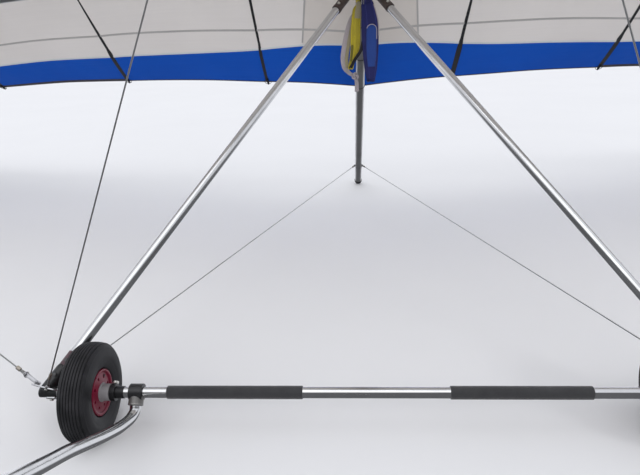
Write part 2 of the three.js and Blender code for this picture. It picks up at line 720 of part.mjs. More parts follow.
function buildBoom() {
  const path = new THREE.CatmullRomCurve3([
    new Vector3(boomX, barY, clampBottom - 0.4), new Vector3(boomX, barY, clampBottom - 12),
    new Vector3(-623, -228, -1657), new Vector3(-630, -272, -1681), new Vector3(-636, -348, -1704),
    new Vector3(-632, -447, -1722.5), new Vector3(-613, -558, -1736.5), new Vector3(-586, -701, -1757.5),
    new Vector3(-524, -950, -1786.5), new Vector3(-455, -1180, -1811), new Vector3(-360, -1430, -1838),
    new Vector3(-230, -1620, -1866), new Vector3(-110, -1708, -1876), new Vector3(-66, -1721, -1850),
    new Vector3(boomEnd.x, boomEnd.y, boomEnd.z - 20), boomEnd,
  ], false, 'centripetal');
  const section = new THREE.Shape().absarc(0, 0, boomR, 0, Math.PI * 2);
  const geometry = new THREE.ExtrudeGeometry(section, {
    steps: 60, extrudePath: path, bevelEnabled: false, curveSegments: 6,
  });
  addPiece('camera_boom', geometry, aluminium);
  const half = 17;
  const ring = sleeve(tubeR + SEAT, 22, boomX - half, boomX + half, 32);
  const stub = rodBetween(new Vector3(boomX, barY, barZ - 20), new Vector3(boomX, barY, clampBottom), 19, 20);
  addPiece('camera_boom_clamp', joined(ring, stub), steel);
  const plate = boxAt(boomEnd.x - 32, boomEnd.x + 32, boomEnd.y - 24, boomEnd.y + 24, boomEnd.z + 0.4, boomEnd.z + 6);
  addPiece('camera_plate', plate, blackPlastic);
}

buildKeel();
buildTailSkid();
buildNosePlate();
buildCrossbarBracket();
buildKingpost();
buildApexBracket();
buildBaseBar();
for (const [side, sign] of sides) {
  buildLeadingEdge(side, sign);
  buildCrossbar(side, sign);
  buildJunctionPlate(side, sign);
  buildDowntube(side, sign);
  buildKnuckle(side, sign);
  buildGrip(side, sign);
  buildWheel(side, sign);
  buildSail(side, sign);
  battenX.forEach((x, i) => buildBatten(side, sign, x, i + 1));
}
buildStays();
buildKeelPocket();
buildHangStrap('hang_strap_backup', 62, 46, 57, backupPath, blueWeb);
buildHangStrap('hang_strap_main', 106, 38, 33, mainPath, yellowWeb);
buildHangStrap('hang_strap_short', 140, 22, 20, shortPath, greyWeb);
buildBoom();

// Tip the glider back onto its wheels and skid, then centre it over the origin
glider.rotation.x = -standAngle;
glider.updateMatrixWorld(true);
const box = new THREE.Box3().setFromObject(glider, true);
glider.position.set(-(box.min.x + box.max.x) / 2, -(box.min.y + box.max.y) / 2, -box.min.z);
glider.updateMatrixWorld(true);

export default glider;
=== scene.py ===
# %% [markdown]
# # A training hang glider, parked on its wheels
# The real glider is aluminium tube, polyester sailcloth and steel wire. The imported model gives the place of
# every part, so each piece here is built in the glider's own flying position and then tipped back with it.
# That keeps the numbers readable: X runs to the right, Y to the tail and Z up, from the keel above the bar.

# %% The frame
import json
import math

import bmesh
import bpy
from mathutils import Matrix, Vector, noise


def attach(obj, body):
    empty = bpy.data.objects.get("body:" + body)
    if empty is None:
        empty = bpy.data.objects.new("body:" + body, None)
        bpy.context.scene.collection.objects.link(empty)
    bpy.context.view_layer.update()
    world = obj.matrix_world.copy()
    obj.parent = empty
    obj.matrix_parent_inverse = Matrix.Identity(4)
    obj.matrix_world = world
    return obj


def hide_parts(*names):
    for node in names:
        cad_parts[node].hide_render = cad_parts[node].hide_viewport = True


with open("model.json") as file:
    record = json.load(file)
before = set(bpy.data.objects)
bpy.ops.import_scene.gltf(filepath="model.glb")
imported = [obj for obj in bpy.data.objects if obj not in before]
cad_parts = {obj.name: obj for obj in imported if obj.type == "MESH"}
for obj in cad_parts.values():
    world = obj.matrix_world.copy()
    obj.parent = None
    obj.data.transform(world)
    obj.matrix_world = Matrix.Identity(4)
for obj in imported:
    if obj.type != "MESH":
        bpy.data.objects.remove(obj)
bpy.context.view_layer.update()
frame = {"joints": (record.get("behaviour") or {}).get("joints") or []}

# %% [markdown]
# A parked glider rests on its two wheels and on the skid at the keel's end. The angle follows from the
# wheels' radius, the skid's radius and the distance between them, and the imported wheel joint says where
# the right wheel stands. One matrix then carries everything from the flying to the parked position.

# %% From flying to parked
WHEEL_X, BAR_Y, BAR_Z = 0.741, -0.215, -1.593
WHEEL_R, SKID_R, SKID_Y = 0.130, 0.024, 1.774
reach = (-BAR_Z, SKID_Y - BAR_Y)
TIP_BACK = math.atan2(*reach) + math.asin((WHEEL_R - SKID_R) / math.hypot(*reach))
right_wheel = next(j for j in frame["joints"] if j["name"] == "wheel_right_spin")
TURN = Matrix.Rotation(-TIP_BACK, 4, "X")
PARK = Matrix.Translation(Vector(right_wheel["pos_m"]) - TURN @ Vector((WHEEL_X, BAR_Y, BAR_Z))) @ TURN
PLUMB = Vector((0, math.sin(TIP_BACK), -math.cos(TIP_BACK)))
print(f"tipped back {math.degrees(TIP_BACK):.1f} degrees")

# %% [markdown]
# The photograph was taken from the camera boom, a little ahead of the bar and below it. A camera object
# keeps that relation to the glider, so it is placed with the flying numbers and parked with the rest.

# %% Camera
X, Y, Z = Vector((1, 0, 0)), Vector((0, 1, 0)), Vector((0, 0, 1))
EYE = Vector((-0.061, -1.698, -1.73))
YAW, PITCH, ROLL = (math.radians(a) for a in (-3.268, 20.693, 0.401))
FOCAL_PIXELS, PHOTO_WIDTH = 561.7, 640


def axes(a, b, c):
    """A turn that takes X, Y and Z to those directions."""
    return Matrix((a, b, c)).transposed().to_4x4()


def placed(name, data):
    """A new object in the scene."""
    obj = bpy.data.objects.new(name, data)
    bpy.context.collection.objects.link(obj)
    return obj


sight = Vector((math.sin(YAW) * math.cos(PITCH), math.cos(YAW) * math.cos(PITCH), math.sin(PITCH)))
across = Matrix.Rotation(-ROLL, 3, sight) @ sight.cross(Z).normalized()
lens = bpy.data.cameras.new("camera")
lens.sensor_width = 36
lens.lens = FOCAL_PIXELS / PHOTO_WIDTH * lens.sensor_width
lens.clip_start = 0.01
camera = placed("camera", lens)
camera.matrix_world = PARK @ Matrix.Translation(EYE) @ axes(across, across.cross(sight), -sight)
bpy.context.scene.camera = camera
print("camera at", [round(c, 3) for c in camera.matrix_world.translation], "lens", round(lens.lens, 1))

# %% [markdown]
# Most shapes on a glider come from four moves: a profile spun about an axis, a ring drawn along a path, a
# rounded block and a cut plate. Each helper below makes one of them with bmesh operators and hands back a
# bmesh, so that a piece can be put together from several. Three layers travel with the points: how far
# along and how far round they lie, which gives the UV map, and whether they lie on a rounded edge.

# %% The bench
def bench():
    bm = bmesh.new()
    bm.loops.layers.uv.new("UVMap")
    for layer in ("run", "girth", "edge"):
        bm.verts.layers.float.new(layer)
    return bm


def evenly(start, end, count):
    """Numbers from start to end in count even steps."""
    return [start + (end - start) * k / count for k in range(count + 1)]


def circle(radius, count=12):
    return [(radius * math.cos(a), radius * math.sin(a)) for a in evenly(0, math.tau, count)[:-1]]


def oblong(x, y, x_low=None, y_low=None):
    """The corners of a rectangle that ends at x and y and, unless its low ends are given, lies evenly."""
    x_low, y_low = (-x if x_low is None else x_low), (-y if y_low is None else y_low)
    return [(x_low, y_low), (x, y_low), (x, y), (x_low, y)]


def moved(bm, at=(0, 0, 0), along=Z, turn=None):
    """Turns a bmesh so that its Z runs along a direction, or by a turn of its own, and moves it."""
    turn = turn or Z.rotation_difference(Vector(along)).to_matrix().to_4x4()
    bmesh.ops.transform(bm, matrix=Matrix.Translation(at) @ turn, verts=bm.verts)
    return bm


def drawn_out(result):
    """The new points and the new edges of an extrusion."""
    kinds = (bmesh.types.BMVert, bmesh.types.BMEdge)
    return ([g for g in result["geom"] if isinstance(g, kind)] for kind in kinds)


def unroll(bm, whole):
    """The UV map of a round shape, from the layers, without a fold where the girth starts again."""
    uv = bm.loops.layers.uv["UVMap"]
    run, girth = (bm.verts.layers.float[name] for name in ("run", "girth"))
    for face in bm.faces:
        far = max(loop.vert[girth] for loop in face.loops)
        for loop in face.loops:
            round_at = loop.vert[girth]
            loop[uv].uv = (round_at + whole if far - round_at > whole / 2 else round_at, loop.vert[run])


def spun(profile, at=(0, 0, 0), along=Z, steps=64, closed=False):
    """A full spin of a profile of (radius, height) pairs."""
    bm = bench()
    run, girth = (bm.verts.layers.float[name] for name in ("run", "girth"))
    verts = [bm.verts.new((radius, 0, height)) for radius, height in profile]
    for before, after in zip(verts, verts[1:]):
        after[run] = before[run] + (after.co - before.co).length
    pairs = list(zip(verts, verts[1:])) + ([(verts[-1], verts[0])] if closed else [])
    edges = [bm.edges.new(pair) for pair in pairs]
    bmesh.ops.spin(
        bm, geom=verts + edges, axis=Z, cent=(0, 0, 0), angle=math.tau, steps=steps, use_merge=True,
    )
    bmesh.ops.remove_doubles(bm, verts=bm.verts, dist=1e-7)
    widest = max(radius for radius, _ in profile)
    for vert in bm.verts:
        vert[girth] = math.atan2(vert.co.y, vert.co.x) % math.tau * widest
    bmesh.ops.recalc_face_normals(bm, faces=bm.faces)
    unroll(bm, math.tau * widest)
    return moved(bm, at, along)


def swept(points, ring, side=X, scales=None, loop=False):
    """A ring of (across, up) pairs drawn along a path. side is its first axis, or one for each point."""
    points = [Vector(p) for p in points]
    if loop:
        points.append(points[0])
    last = len(points) - 1
    bm = bench()
    run, girth = (bm.verts.layers.float[name] for name in ("run", "girth"))
    places = []
    lean = None
    for i, point in enumerate(points):
        before = points[i - 1] if i else (points[last - 1] if loop else point)
        after = points[i + 1] if i < last else (points[1] if loop else point)
        forward = (after - before).normalized()
        wanted = Vector(side[i % len(side)]) if isinstance(side, list) else (lean or Vector(side))
        lean = (wanted - forward * wanted.dot(forward)).normalized()
        wide, high = scales[i] if scales else (1, 1)
        places.append(Matrix.Translation(point) @ axes(lean * wide, forward.cross(lean) * high, forward))
    verts = [bm.verts.new(places[0] @ Vector((a, b, 0))) for a, b in ring]
    edges = [bm.edges.new((vert, verts[(i + 1) % len(verts)])) for i, vert in enumerate(verts)]
    whole = 0.0
    for vert, (a, b), (c, d) in zip(verts, ring, ring[1:] + ring[:1]):
        vert[girth] = whole
        whole += math.hypot(c - a, d - b)
    if not loop:
        bm.faces.new(verts)
    travelled = 0.0
    for i in range(1, len(points)):
        verts, edges = drawn_out(bmesh.ops.extrude_edge_only(bm, edges=edges))
        bmesh.ops.transform(bm, matrix=places[i] @ places[i - 1].inverted(), verts=verts)
        travelled += (points[i] - points[i - 1]).length
        for vert in verts:
            vert[run] = travelled
    unroll(bm, whole)
    if loop:
        bmesh.ops.remove_doubles(bm, verts=bm.verts, dist=1e-6)
    else:
        bmesh.ops.contextual_create(bm, geom=edges)
    bmesh.ops.recalc_face_normals(bm, faces=bm.faces)
    return bm


def soften(bm, edges, width, segments=3):
    """Rounds edges, and marks the new points for the materials' worn edges."""
    edge = bm.verts.layers.float["edge"]
    made = bmesh.ops.bevel(
        bm, geom=list(edges), offset=width, offset_type="OFFSET", affect="EDGES", segments=segments,
        profile=0.5, material=-1, clamp_overlap=True,
    )
    for vert in made["verts"]:
        vert[edge] = 1.0


def block(size, at, round_off=0.0015):
    """A block with rounded edges."""
    bm = bench()
    bmesh.ops.create_cube(bm, size=1)
    bmesh.ops.scale(bm, vec=size, verts=bm.verts)
    soften(bm, bm.edges, round_off)
    return moved(bm, at)


def plate(outline, thick, at=(0, 0, 0), corner=0.0, round_off=0.0008, turn=None):
    """A plate cut to an outline of (x, y) pairs, with rounded corners and broken edges."""
    bm = bench()
    face = bm.faces.new([bm.verts.new((x, y, -thick / 2)) for x, y in outline])
    verts, _ = drawn_out(bmesh.ops.extrude_face_region(bm, geom=[face]))
    bmesh.ops.translate(bm, vec=(0, 0, thick), verts=verts)
    soften(bm, [e for e in bm.edges if abs((e.verts[0].co - e.verts[1].co).z) > thick / 2], corner, 5)
    edge = bm.verts.layers.float["edge"]
    for vert in bm.verts:
        vert[edge] = 0.0
    rims = [e for e in bm.edges if len({round(v.co.z, 6) for v in e.verts}) == 1 and e.calc_face_angle(0) > 1]
    soften(bm, rims, round_off, 2)
    bmesh.ops.recalc_face_normals(bm, faces=bm.faces)
    return moved(bm, at, turn=turn)


def joined(parts):
    """One bmesh from several. A part comes with the number of its finish, (part, 1), or has the first one."""
    bm = bench()
    for part in parts:
        part, finish = part if isinstance(part, tuple) else (part, 0)
        for face in part.faces if finish is not None else ():
            face.material_index = finish
        carrier = bpy.data.meshes.new("carrier")
        part.to_mesh(carrier)
        part.free()
        bm.from_mesh(carrier)
        bpy.data.meshes.remove(carrier)
    return bm


def piece(name, slot, finishes, parts, *nodes, body="airframe", sharp=34, sign=1):
    """Joins parts and parks them as an object that rides on a body and stands for those CAD nodes.

    A sign of -1 mirrors the parts first, for a piece of the left side that is drawn as the right one.
    """
    bm = joined(parts)
    if sign < 0:
        bmesh.ops.scale(bm, vec=(-1, 1, 1), verts=bm.verts)
        bmesh.ops.reverse_faces(bm, faces=bm.faces)
    bmesh.ops.transform(bm, matrix=PARK, verts=bm.verts)
    for layer in ("run", "girth"):
        bm.verts.layers.float.remove(bm.verts.layers.float[layer])
    mesh = bpy.data.meshes.new(name)
    bm.to_mesh(mesh)
    bm.free()
    mesh.shade_smooth()
    mesh.set_sharp_from_angle(angle=math.radians(sharp))
    obj = placed(name, mesh)
    for finish in finishes:
        mesh.materials.append(finish)
    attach(obj, body)
    if nodes:
        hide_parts(*nodes)
    return obj


def tube(start, end, radius, steps=64, lip=0.0008):
    """A straight round rod from start to end with broken edges."""
    start, end = Vector(start), Vector(end)
    long = (end - start).length
    profile = [(0, 0), (radius - lip, 0), (radius, lip)]
    profile += [(r, long - at) for r, at in reversed(profile)]
    return spun(profile, start, end - start, steps)


def bolt(at, along, reach=0.0, size=0.006, nut=True):
    """A hex bolt whose head stands on at, with its shank going down by reach to a washer and a lock nut."""
    def hexagon(height, thick):
        part = bench()
        flats = size * 0.92
        bmesh.ops.create_cone(part, cap_ends=True, segments=6, radius1=flats, radius2=flats, depth=thick)
        upper = [e for e in part.edges if e.calc_face_angle(0) > 0.5 and e.verts[0].co.z > 0]
        soften(part, upper, size * 0.08, 2)
        return moved(part, (0, 0, height))

    def ring(profile, height, steps):
        return spun([(size * r, height + size * h) for r, h in profile], steps=steps, closed=True)

    washer = [(0.5, 0), (1.1, 0), (1.15, 0.06), (1.1, 0.16), (0.5, 0.16)]
    parts = [ring(washer, 0, 24), hexagon(size * 0.46, size * 0.6)]
    if reach:
        parts.append(tube((0, 0, 0), -Z * (reach + size * 1.5), size / 2, 16))
    if nut:
        parts.append(ring([(r, -h) for r, h in washer], -reach, 24))
        parts.append(hexagon(-reach - size * 0.62, size * 0.8))
        parts.append(ring([(0.5, -1), (0.72, -1), (0.6, -1.3), (0.5, -1.3)], -reach, 18))
    return moved(joined(parts), at, along)


# %% [markdown]
# Finishes share a few effects, so each effect is one shader group with named inputs: patchy tone, drawn
# metal lines, worn edges, a cloth weave and stitching. A group gives only masks and heights. The
# Principled shader, which makes the surface, stays in each material.

# %% Effects
def put(tree, kind, settings=None, outlet=0, **wires):
    """Adds a node, sets it, wires it and gives back one of its outlets. Inputs go by name, or by i0, i1."""
    item = tree.nodes.new("ShaderNode" + kind)
    for key, value in (settings or {}).items():
        setattr(item, key, value)
    for key, value in wires.items():
        inlet = item.inputs[int(key[1:])] if key[1:].isdigit() else item.inputs[key.replace("_", " ")]
        if isinstance(value, bpy.types.NodeSocket):
            tree.links.new(value, inlet)
        else:
            inlet.default_value = value
    return item.outputs[outlet]


def sums(tree, how, a, b=0.0, c=0.0):
    return put(tree, "Math", {"operation": how}, i0=a, i1=b, i2=c)


def wave(tree, value, length):
    return sums(tree, "SINE", sums(tree, "MULTIPLY", value, math.tau / length))


def apart(tree, vector):
    """The X and Y of a vector."""
    parts = tree.nodes.new("ShaderNodeSeparateXYZ")
    tree.links.new(vector, parts.inputs[0])
    return parts.outputs[0], parts.outputs[1]


def effect(name, inlets, outlets, recipe):
    """Makes a shader group. recipe gets the tree and the inlets and gives back a value for each outlet."""
    tree = bpy.data.node_groups.new(name, "ShaderNodeTree")
    for label, value in inlets.items():
        kind = "NodeSocketVector" if value is None else "NodeSocketFloat"
        socket = tree.interface.new_socket(name=label, in_out="INPUT", socket_type=kind)
        if value is not None:
            socket.default_value = value
    for label in outlets:
        tree.interface.new_socket(name=label, in_out="OUTPUT", socket_type="NodeSocketFloat")
    start, end = tree.nodes.new("NodeGroupInput"), tree.nodes.new("NodeGroupOutput")
    for value, inlet in zip(recipe(tree, start.outputs), end.inputs):
        tree.links.new(value, inlet)
    return tree


def use(tree, group, outlet=0, **wires):
    return put(tree, "Group", {"node_tree": group}, outlet, **wires)


def mottle_recipe(tree, inlet):
    cloud = put(tree, "TexNoise", Vector=inlet["Vector"], Scale=inlet["Scale"], Detail=6.0, Roughness=0.6)
    return [put(tree, "MapRange", Value=cloud, From_Min=0.3, From_Max=0.7,
                To_Min=inlet["Low"], To_Max=inlet["High"])]


def drawn_recipe(tree, inlet):
    lines = put(tree, "VectorMath", {"operation": "MULTIPLY"}, i0=inlet["Vector"], i1=inlet["Stretch"])
    fine = put(tree, "TexNoise", Vector=lines, Scale=1.0, Detail=3.0, Roughness=0.55)
    marks = put(tree, "TexNoise", Vector=lines, Scale=0.23, Detail=8.0, Roughness=0.7)
    return [fine, put(tree, "MapRange", Value=marks, From_Min=0.60, From_Max=0.66)]


def wear_recipe(tree, inlet):
    edge = put(tree, "Attribute", {"attribute_name": "edge"}, outlet=2)
    cloud = put(tree, "TexNoise", Vector=inlet["Vector"], Scale=inlet["Scale"], Detail=8.0, Roughness=0.7)
    level_up = sums(tree, "MULTIPLY_ADD", edge, inlet["On edges"], cloud)
    low = sums(tree, "SUBTRACT", 1.02, inlet["Amount"])
    return [put(tree, "MapRange", Value=level_up, From_Min=low, From_Max=sums(tree, "ADD", low, 0.06))]


def weave_recipe(tree, inlet):
    threads = inlet["Threads per metre"]
    turns = sums(tree, "MULTIPLY", threads, math.pi)
    ways = apart(tree, inlet["Vector"])
    warp, weft = (sums(tree, "SINE", sums(tree, "MULTIPLY", way, turns)) for way in ways)
    height = put(tree, "MapRange", Value=sums(tree, "MULTIPLY", warp, weft), From_Min=-1.0, From_Max=1.0)
    yarn = put(tree, "TexNoise", Vector=inlet["Vector"], Scale=sums(tree, "MULTIPLY", threads, 0.4))
    return [sums(tree, "MULTIPLY_ADD", yarn, 0.4, height)]


def stitch_recipe(tree, inlet):
    """Zigzag thread along U, about V = Row. Position along is in pitches, across in widths."""
    u, v = apart(tree, inlet["Vector"])
    swing = sums(tree, "PINGPONG", sums(tree, "DIVIDE", u, inlet["Pitch"]), 0.5)
    path = sums(tree, "MULTIPLY", sums(tree, "SUBTRACT", swing, 0.25), inlet["Width"])
    gap = sums(tree, "ABSOLUTE", sums(tree, "SUBTRACT", sums(tree, "SUBTRACT", v, inlet["Row"]), path))
    return [put(tree, "MapRange", {"interpolation_type": "SMOOTHSTEP"}, Value=gap, From_Min=inlet["Thread"],
                From_Max=sums(tree, "MULTIPLY", inlet["Thread"], 0.4))]


MOTTLE = effect("mottle", {"Vector": None, "Scale": 5.0, "Low": 0.0, "High": 1.0}, ["Value"], mottle_recipe)
DRAWN = effect("drawn_lines", {"Vector": None, "Stretch": None}, ["Height", "Scratch"], drawn_recipe)
WEAR = effect("worn", {"Vector": None, "Scale": 40.0, "Amount": 0.3, "On edges": 0.3}, ["Mask"], wear_recipe)
WEAVE = effect("weave", {"Vector": None, "Threads per metre": 800.0}, ["Height"], weave_recipe)
STITCH = effect("stitches", {"Vector": None, "Pitch": 0.008, "Width": 0.008, "Row": 0.0, "Thread": 0.0005},
                ["Mask"], stitch_recipe)
print("effects:", [g.name for g in bpy.data.node_groups])


def blank(name, roughness, metallic=0.0, **sockets):
    """A new material: its tree, object coordinates and UV map, with plain values set on its own shader."""
    material = bpy.data.materials.new(name)
    material.use_nodes = True
    tree = material.node_tree
    for key, value in {"Roughness": roughness, "Metallic": metallic, **sockets}.items():
        tree.nodes["Principled BSDF"].inputs[key.replace("_", " ")].default_value = value
    coords = tree.nodes.new("ShaderNodeTexCoord").outputs
    return material, tree, coords["Object"], coords["UV"]


def dressed(material, colour, rough=None, height=None, depth=0.0, strength=1.0):
    """Wires what a recipe made into the material's own shader, and hands the material back."""
    tree = material.node_tree
    bump = put(tree, "Bump", Height=height, Distance=depth, Strength=strength) if height else None
    for label, value in {"Base Color": colour, "Roughness": rough, "Normal": bump}.items():
        if value:
            tree.links.new(value, tree.nodes["Principled BSDF"].inputs[label])
    return material


def blend_colours(tree, mask, *colours):
    """From the first colour to the second, as the mask says. Colours may come from nodes."""
    first, second = (c if isinstance(c, bpy.types.NodeSocket) else (*c, 1) for c in colours)
    return put(tree, "Mix", {"data_type": "RGBA"}, 2, i0=mask, i6=first, i7=second)


# %% [markdown]
# The light is plain and soft, as in a studio: an even dome and three broad suns. Suns light everything
# evenly, where a lamp close by would leave a patch on the floor. The low one only reaches up under the sail.
# Polished tube shows what stands round it, and in the air that is a bright sky over dark ground. So
# reflections see the dome as the flying glider would, half light and half dark, and don't see the floor.

# %% Light
world = bpy.data.worlds.new("pale")
bpy.context.scene.world = world
world.use_nodes = True
dome = world.node_tree
above = put(dome, "VectorMath", {"operation": "DOT_PRODUCT"}, "Value", i0=put(dome, "TexCoord"), i1=TURN @ Z)
fade = put(dome, "MapRange", {"interpolation_type": "SMOOTHSTEP"}, Value=above, From_Min=-0.05, From_Max=0.07,
           To_Min=0.19, To_Max=1.15)
ray = dome.nodes.new("ShaderNodeLightPath").outputs
mirrored_dome = put(dome, "Mix", Factor=ray["Is Glossy Ray"], A=0.95, B=fade)
shown_dome = put(dome, "Mix", Factor=ray["Is Camera Ray"], A=mirrored_dome, B=0.92)
backdrop = dome.nodes["Background"].inputs
backdrop["Color"].default_value = (0.84, 0.86, 0.92, 1)
dome.links.new(shown_dome, backdrop["Strength"])
bpy.context.scene.view_settings.view_transform = "Standard"


def sun(name, height, round_by, strength, spread, shines=True):
    """A soft sun, height degrees up and round_by degrees to the right of straight ahead of the glider."""
    light = bpy.data.lights.new(name, "SUN")
    light.energy = strength
    light.angle = math.radians(spread)
    holder = placed(name, light)
    holder.rotation_euler = (math.radians(90 - height), 0, math.radians(round_by))
    holder.visible_glossy = shines


sun("high_sun", 58, -20, 0.50, 55)
sun("side_sun", 30, 45, 0.55, 14, shines=False)
sun("low_glow", 6, -16, 1.65, 100, shines=False)

# %% [markdown]
# Aluminium tube is drawn through a die, which leaves fine lines along it. The downtubes, the bar and the
# boom are polished bright. The keel and the spars are duller from anodising. Both pick up scratches and
# hand marks, which show in the roughness more than in the colour.

# %% Metal finishes
def metal(name, light, dark, roughness, spread, stretch):
    material, tree, place, uv = blank(name, roughness, 1.0)
    lines, marks = (use(tree, DRAWN, outlet=i, Vector=uv, Stretch=stretch) for i in range(2))
    hands = use(tree, MOTTLE, Vector=place, Scale=9.0)
    worn = use(tree, WEAR, Vector=place, Scale=60.0, Amount=0.25, On_edges=0.35)
    base = blend_colours(tree, hands, light, dark)
    rough = sums(tree, "MULTIPLY_ADD", hands, spread, roughness)
    return dressed(material, blend_colours(tree, worn, base, [min(1, c * 1.15) for c in light]),
                   sums(tree, "MULTIPLY_ADD", marks, 0.12, rough),
                   sums(tree, "MULTIPLY_ADD", marks, -0.5, lines), 0.00004, 0.6)


POLISHED = metal("polished_tube", (0.66, 0.66, 0.66), (0.56, 0.56, 0.56), 0.11, 0.10, (1400, 9, 1))
SATIN = metal("satin_tube", (0.54, 0.54, 0.54), (0.44, 0.44, 0.44), 0.28, 0.12, (1200, 7, 1))
PLATE = metal("plate_steel", (0.52, 0.52, 0.53), (0.40, 0.40, 0.41), 0.32, 0.16, (300, 300, 300))
FASTENER = metal("zinc_fastener", (0.62, 0.61, 0.57), (0.48, 0.47, 0.44), 0.30, 0.2, (500, 500, 500))
FERRULE = metal("grey_ferrule", (0.52, 0.51, 0.49), (0.38, 0.37, 0.355), 0.42, 0.2, (900, 900, 1))
SWAGE = metal("swage_sleeve", (0.55, 0.50, 0.42), (0.40, 0.36, 0.31), 0.38, 0.2, (900, 60, 1))


def strand():
    """Nineteen-strand wire: the strands wind round it, so the bump runs slantwise over the UV map."""
    material, tree, place, uv = blank("stay_wire", 0.34, 1.0)
    round_at, run = apart(tree, uv)
    ridges = wave(tree, sums(tree, "MULTIPLY_ADD", run, 0.45, round_at), 0.00105)
    # The grooves between the strands are painted darker than the strands' crowns: painted shade in the grooves.
    tone = put(tree, "MapRange", Value=ridges, From_Min=-1.0, From_Max=0.2)
    colour = blend_colours(tree, tone, (0.20, 0.20, 0.20), (0.55, 0.55, 0.54))
    return dressed(material, colour, None, ridges, 0.0002)


STRAND = strand()


# %% [markdown]
# Moulded plastic, foam and rubber are all nearly black, and what tells them apart is the surface: plastic
# has a fine grain and pale rubbed edges, foam has open pores, and the tyre is dusty in its grooves.

# %% Plastic, foam and rubber
def moulded(name, colour, rubbed, roughness, wear=0.28):
    material, tree, place, uv = blank(name, roughness)
    speckle = put(tree, "TexNoise", Vector=place, Scale=900.0, Detail=2.0)
    patches = use(tree, MOTTLE, Vector=place, Scale=14.0)
    worn = use(tree, WEAR, Vector=place, Scale=70.0, Amount=wear, On_edges=0.4)
    base = blend_colours(tree, patches, colour, [c * 0.7 for c in colour])
    return dressed(material, blend_colours(tree, worn, base, rubbed),
                   sums(tree, "MULTIPLY_ADD", patches, 0.16, roughness - 0.06), speckle, 0.00006, 0.7)


BLACK_PLASTIC = moulded("black_plastic", (0.010, 0.010, 0.011), (0.055, 0.055, 0.057), 0.36)
GREY_PLASTIC = moulded("grey_plastic", (0.23, 0.22, 0.225), (0.42, 0.41, 0.42), 0.42)
CRIMSON = moulded("crimson_plastic", (0.17, 0.001, 0.022), (0.36, 0.03, 0.07), 0.42, wear=0.18)
SOCKET = moulded("brown_socket", (0.040, 0.026, 0.022), (0.13, 0.10, 0.09), 0.45)
PLUM = moulded("plum_sleeve", (0.085, 0.042, 0.052), (0.18, 0.12, 0.13), 0.40)


def foam():
    material, tree, place, uv = blank("grip_foam", 0.85, Sheen_Weight=0.25)
    pores = put(tree, "TexVoronoi", Vector=place, Scale=1100.0)
    pits = put(tree, "MapRange", Value=pores, From_Min=0.05, From_Max=0.5)
    # The pores are painted darker than the foam between them: painted shade in the pores.
    return dressed(material, blend_colours(tree, pits, (0.006, 0.006, 0.006), (0.022, 0.022, 0.024)),
                   use(tree, MOTTLE, Vector=place, Scale=18.0, Low=0.62, High=0.92), pits, 0.0003, 0.8)


def tyre_rubber():
    material, tree, place, uv = blank("tyre_rubber", 0.62, Specular_IOR_Level=0.25)
    dust = use(tree, MOTTLE, Vector=place, Scale=26.0)
    speckle = put(tree, "TexNoise", Vector=place, Scale=700.0, Detail=3.0)
    film = sums(tree, "MULTIPLY", dust, speckle)
    return dressed(material, blend_colours(tree, film, (0.008, 0.008, 0.009), (0.040, 0.039, 0.043)),
                   sums(tree, "MULTIPLY_ADD", film, 0.4, 0.48), speckle, 0.0001, 0.6)


FOAM, TYRE = foam(), tyre_rubber()


# %% [markdown]
# Sailcloth is a tight polyester weave, filled with resin, so it is smooth and faintly glossy. Seen from
# below it is a warm grey, because light comes through it. The middle panel is an older, darker cloth whose
# edges run slightly apart toward the tail, and the map on the sail, in metres, says where it ends.

# %% Cloth finishes
def cloth(name, light, dark, roughness=0.62, middle=None, sheen=0.15, gloss=0.5):
    material, tree, place, uv = blank(name, roughness, Sheen_Weight=sheen, Specular_IOR_Level=gloss)
    clouds = use(tree, MOTTLE, Vector=place, Scale=1.7)
    streak = put(tree, "VectorMath", {"operation": "MULTIPLY"}, i0=uv, i1=(0.8, 26.0, 1.0))
    threads_tone = use(tree, MOTTLE, Vector=streak, Scale=3.0)
    tone = sums(tree, "MULTIPLY_ADD", threads_tone, 0.35, sums(tree, "MULTIPLY", clouds, 0.65))
    colour = blend_colours(tree, tone, light, dark)
    if middle:
        x, v = apart(tree, uv)
        half = sums(tree, "MULTIPLY_ADD", v, -PANEL_SLANT, PANEL_HALF)
        inside = sums(tree, "SUBTRACT", half, sums(tree, "ABSOLUTE", x))
        mask = put(tree, "MapRange", Value=inside, From_Min=-0.0005, From_Max=0.0005)
        panel = blend_colours(tree, tone, middle, [c * 0.93 for c in middle])
        colour = blend_colours(tree, mask, colour, panel)
    rough = use(tree, MOTTLE, Vector=place, Scale=4.0, Low=roughness - 0.06, High=roughness + 0.1)
    yarn = use(tree, WEAVE, Vector=uv, Threads_per_metre=900.0)
    return dressed(material, colour, rough, yarn, 0.00012, 0.5)


PANEL_HALF, PANEL_SLANT = 0.33, 0.125
PALE_CLOTH = cloth("sailcloth_pale", (0.71, 0.675, 0.645), (0.65, 0.615, 0.585), middle=(0.62, 0.575, 0.53))
BLUE_CLOTH = cloth("sailcloth_blue", (0.002, 0.078, 0.45), (0.001, 0.062, 0.38), sheen=0.0, gloss=0.1)
BLACK_CLOTH = cloth("pocket_cloth_black", (0.012, 0.012, 0.014), (0.007, 0.007, 0.009), 0.75, gloss=0.3)


def seam_tape(name, colour, thread):
    """Narrow tape sewn with two zigzag rows. On its map U runs along it and V across, from its middle."""
    material, tree, place, uv = blank(name, 0.66)
    sewn = (use(tree, STITCH, Vector=uv, Row=row, Pitch=0.006, Width=0.007) for row in (-0.003, 0.003))
    mask = sums(tree, "MAXIMUM", *sewn)
    base = blend_colours(tree, use(tree, MOTTLE, Vector=place, Scale=8.0), colour, [c * 0.86 for c in colour])
    return dressed(material, blend_colours(tree, mask, base, thread), None, mask, 0.0004)


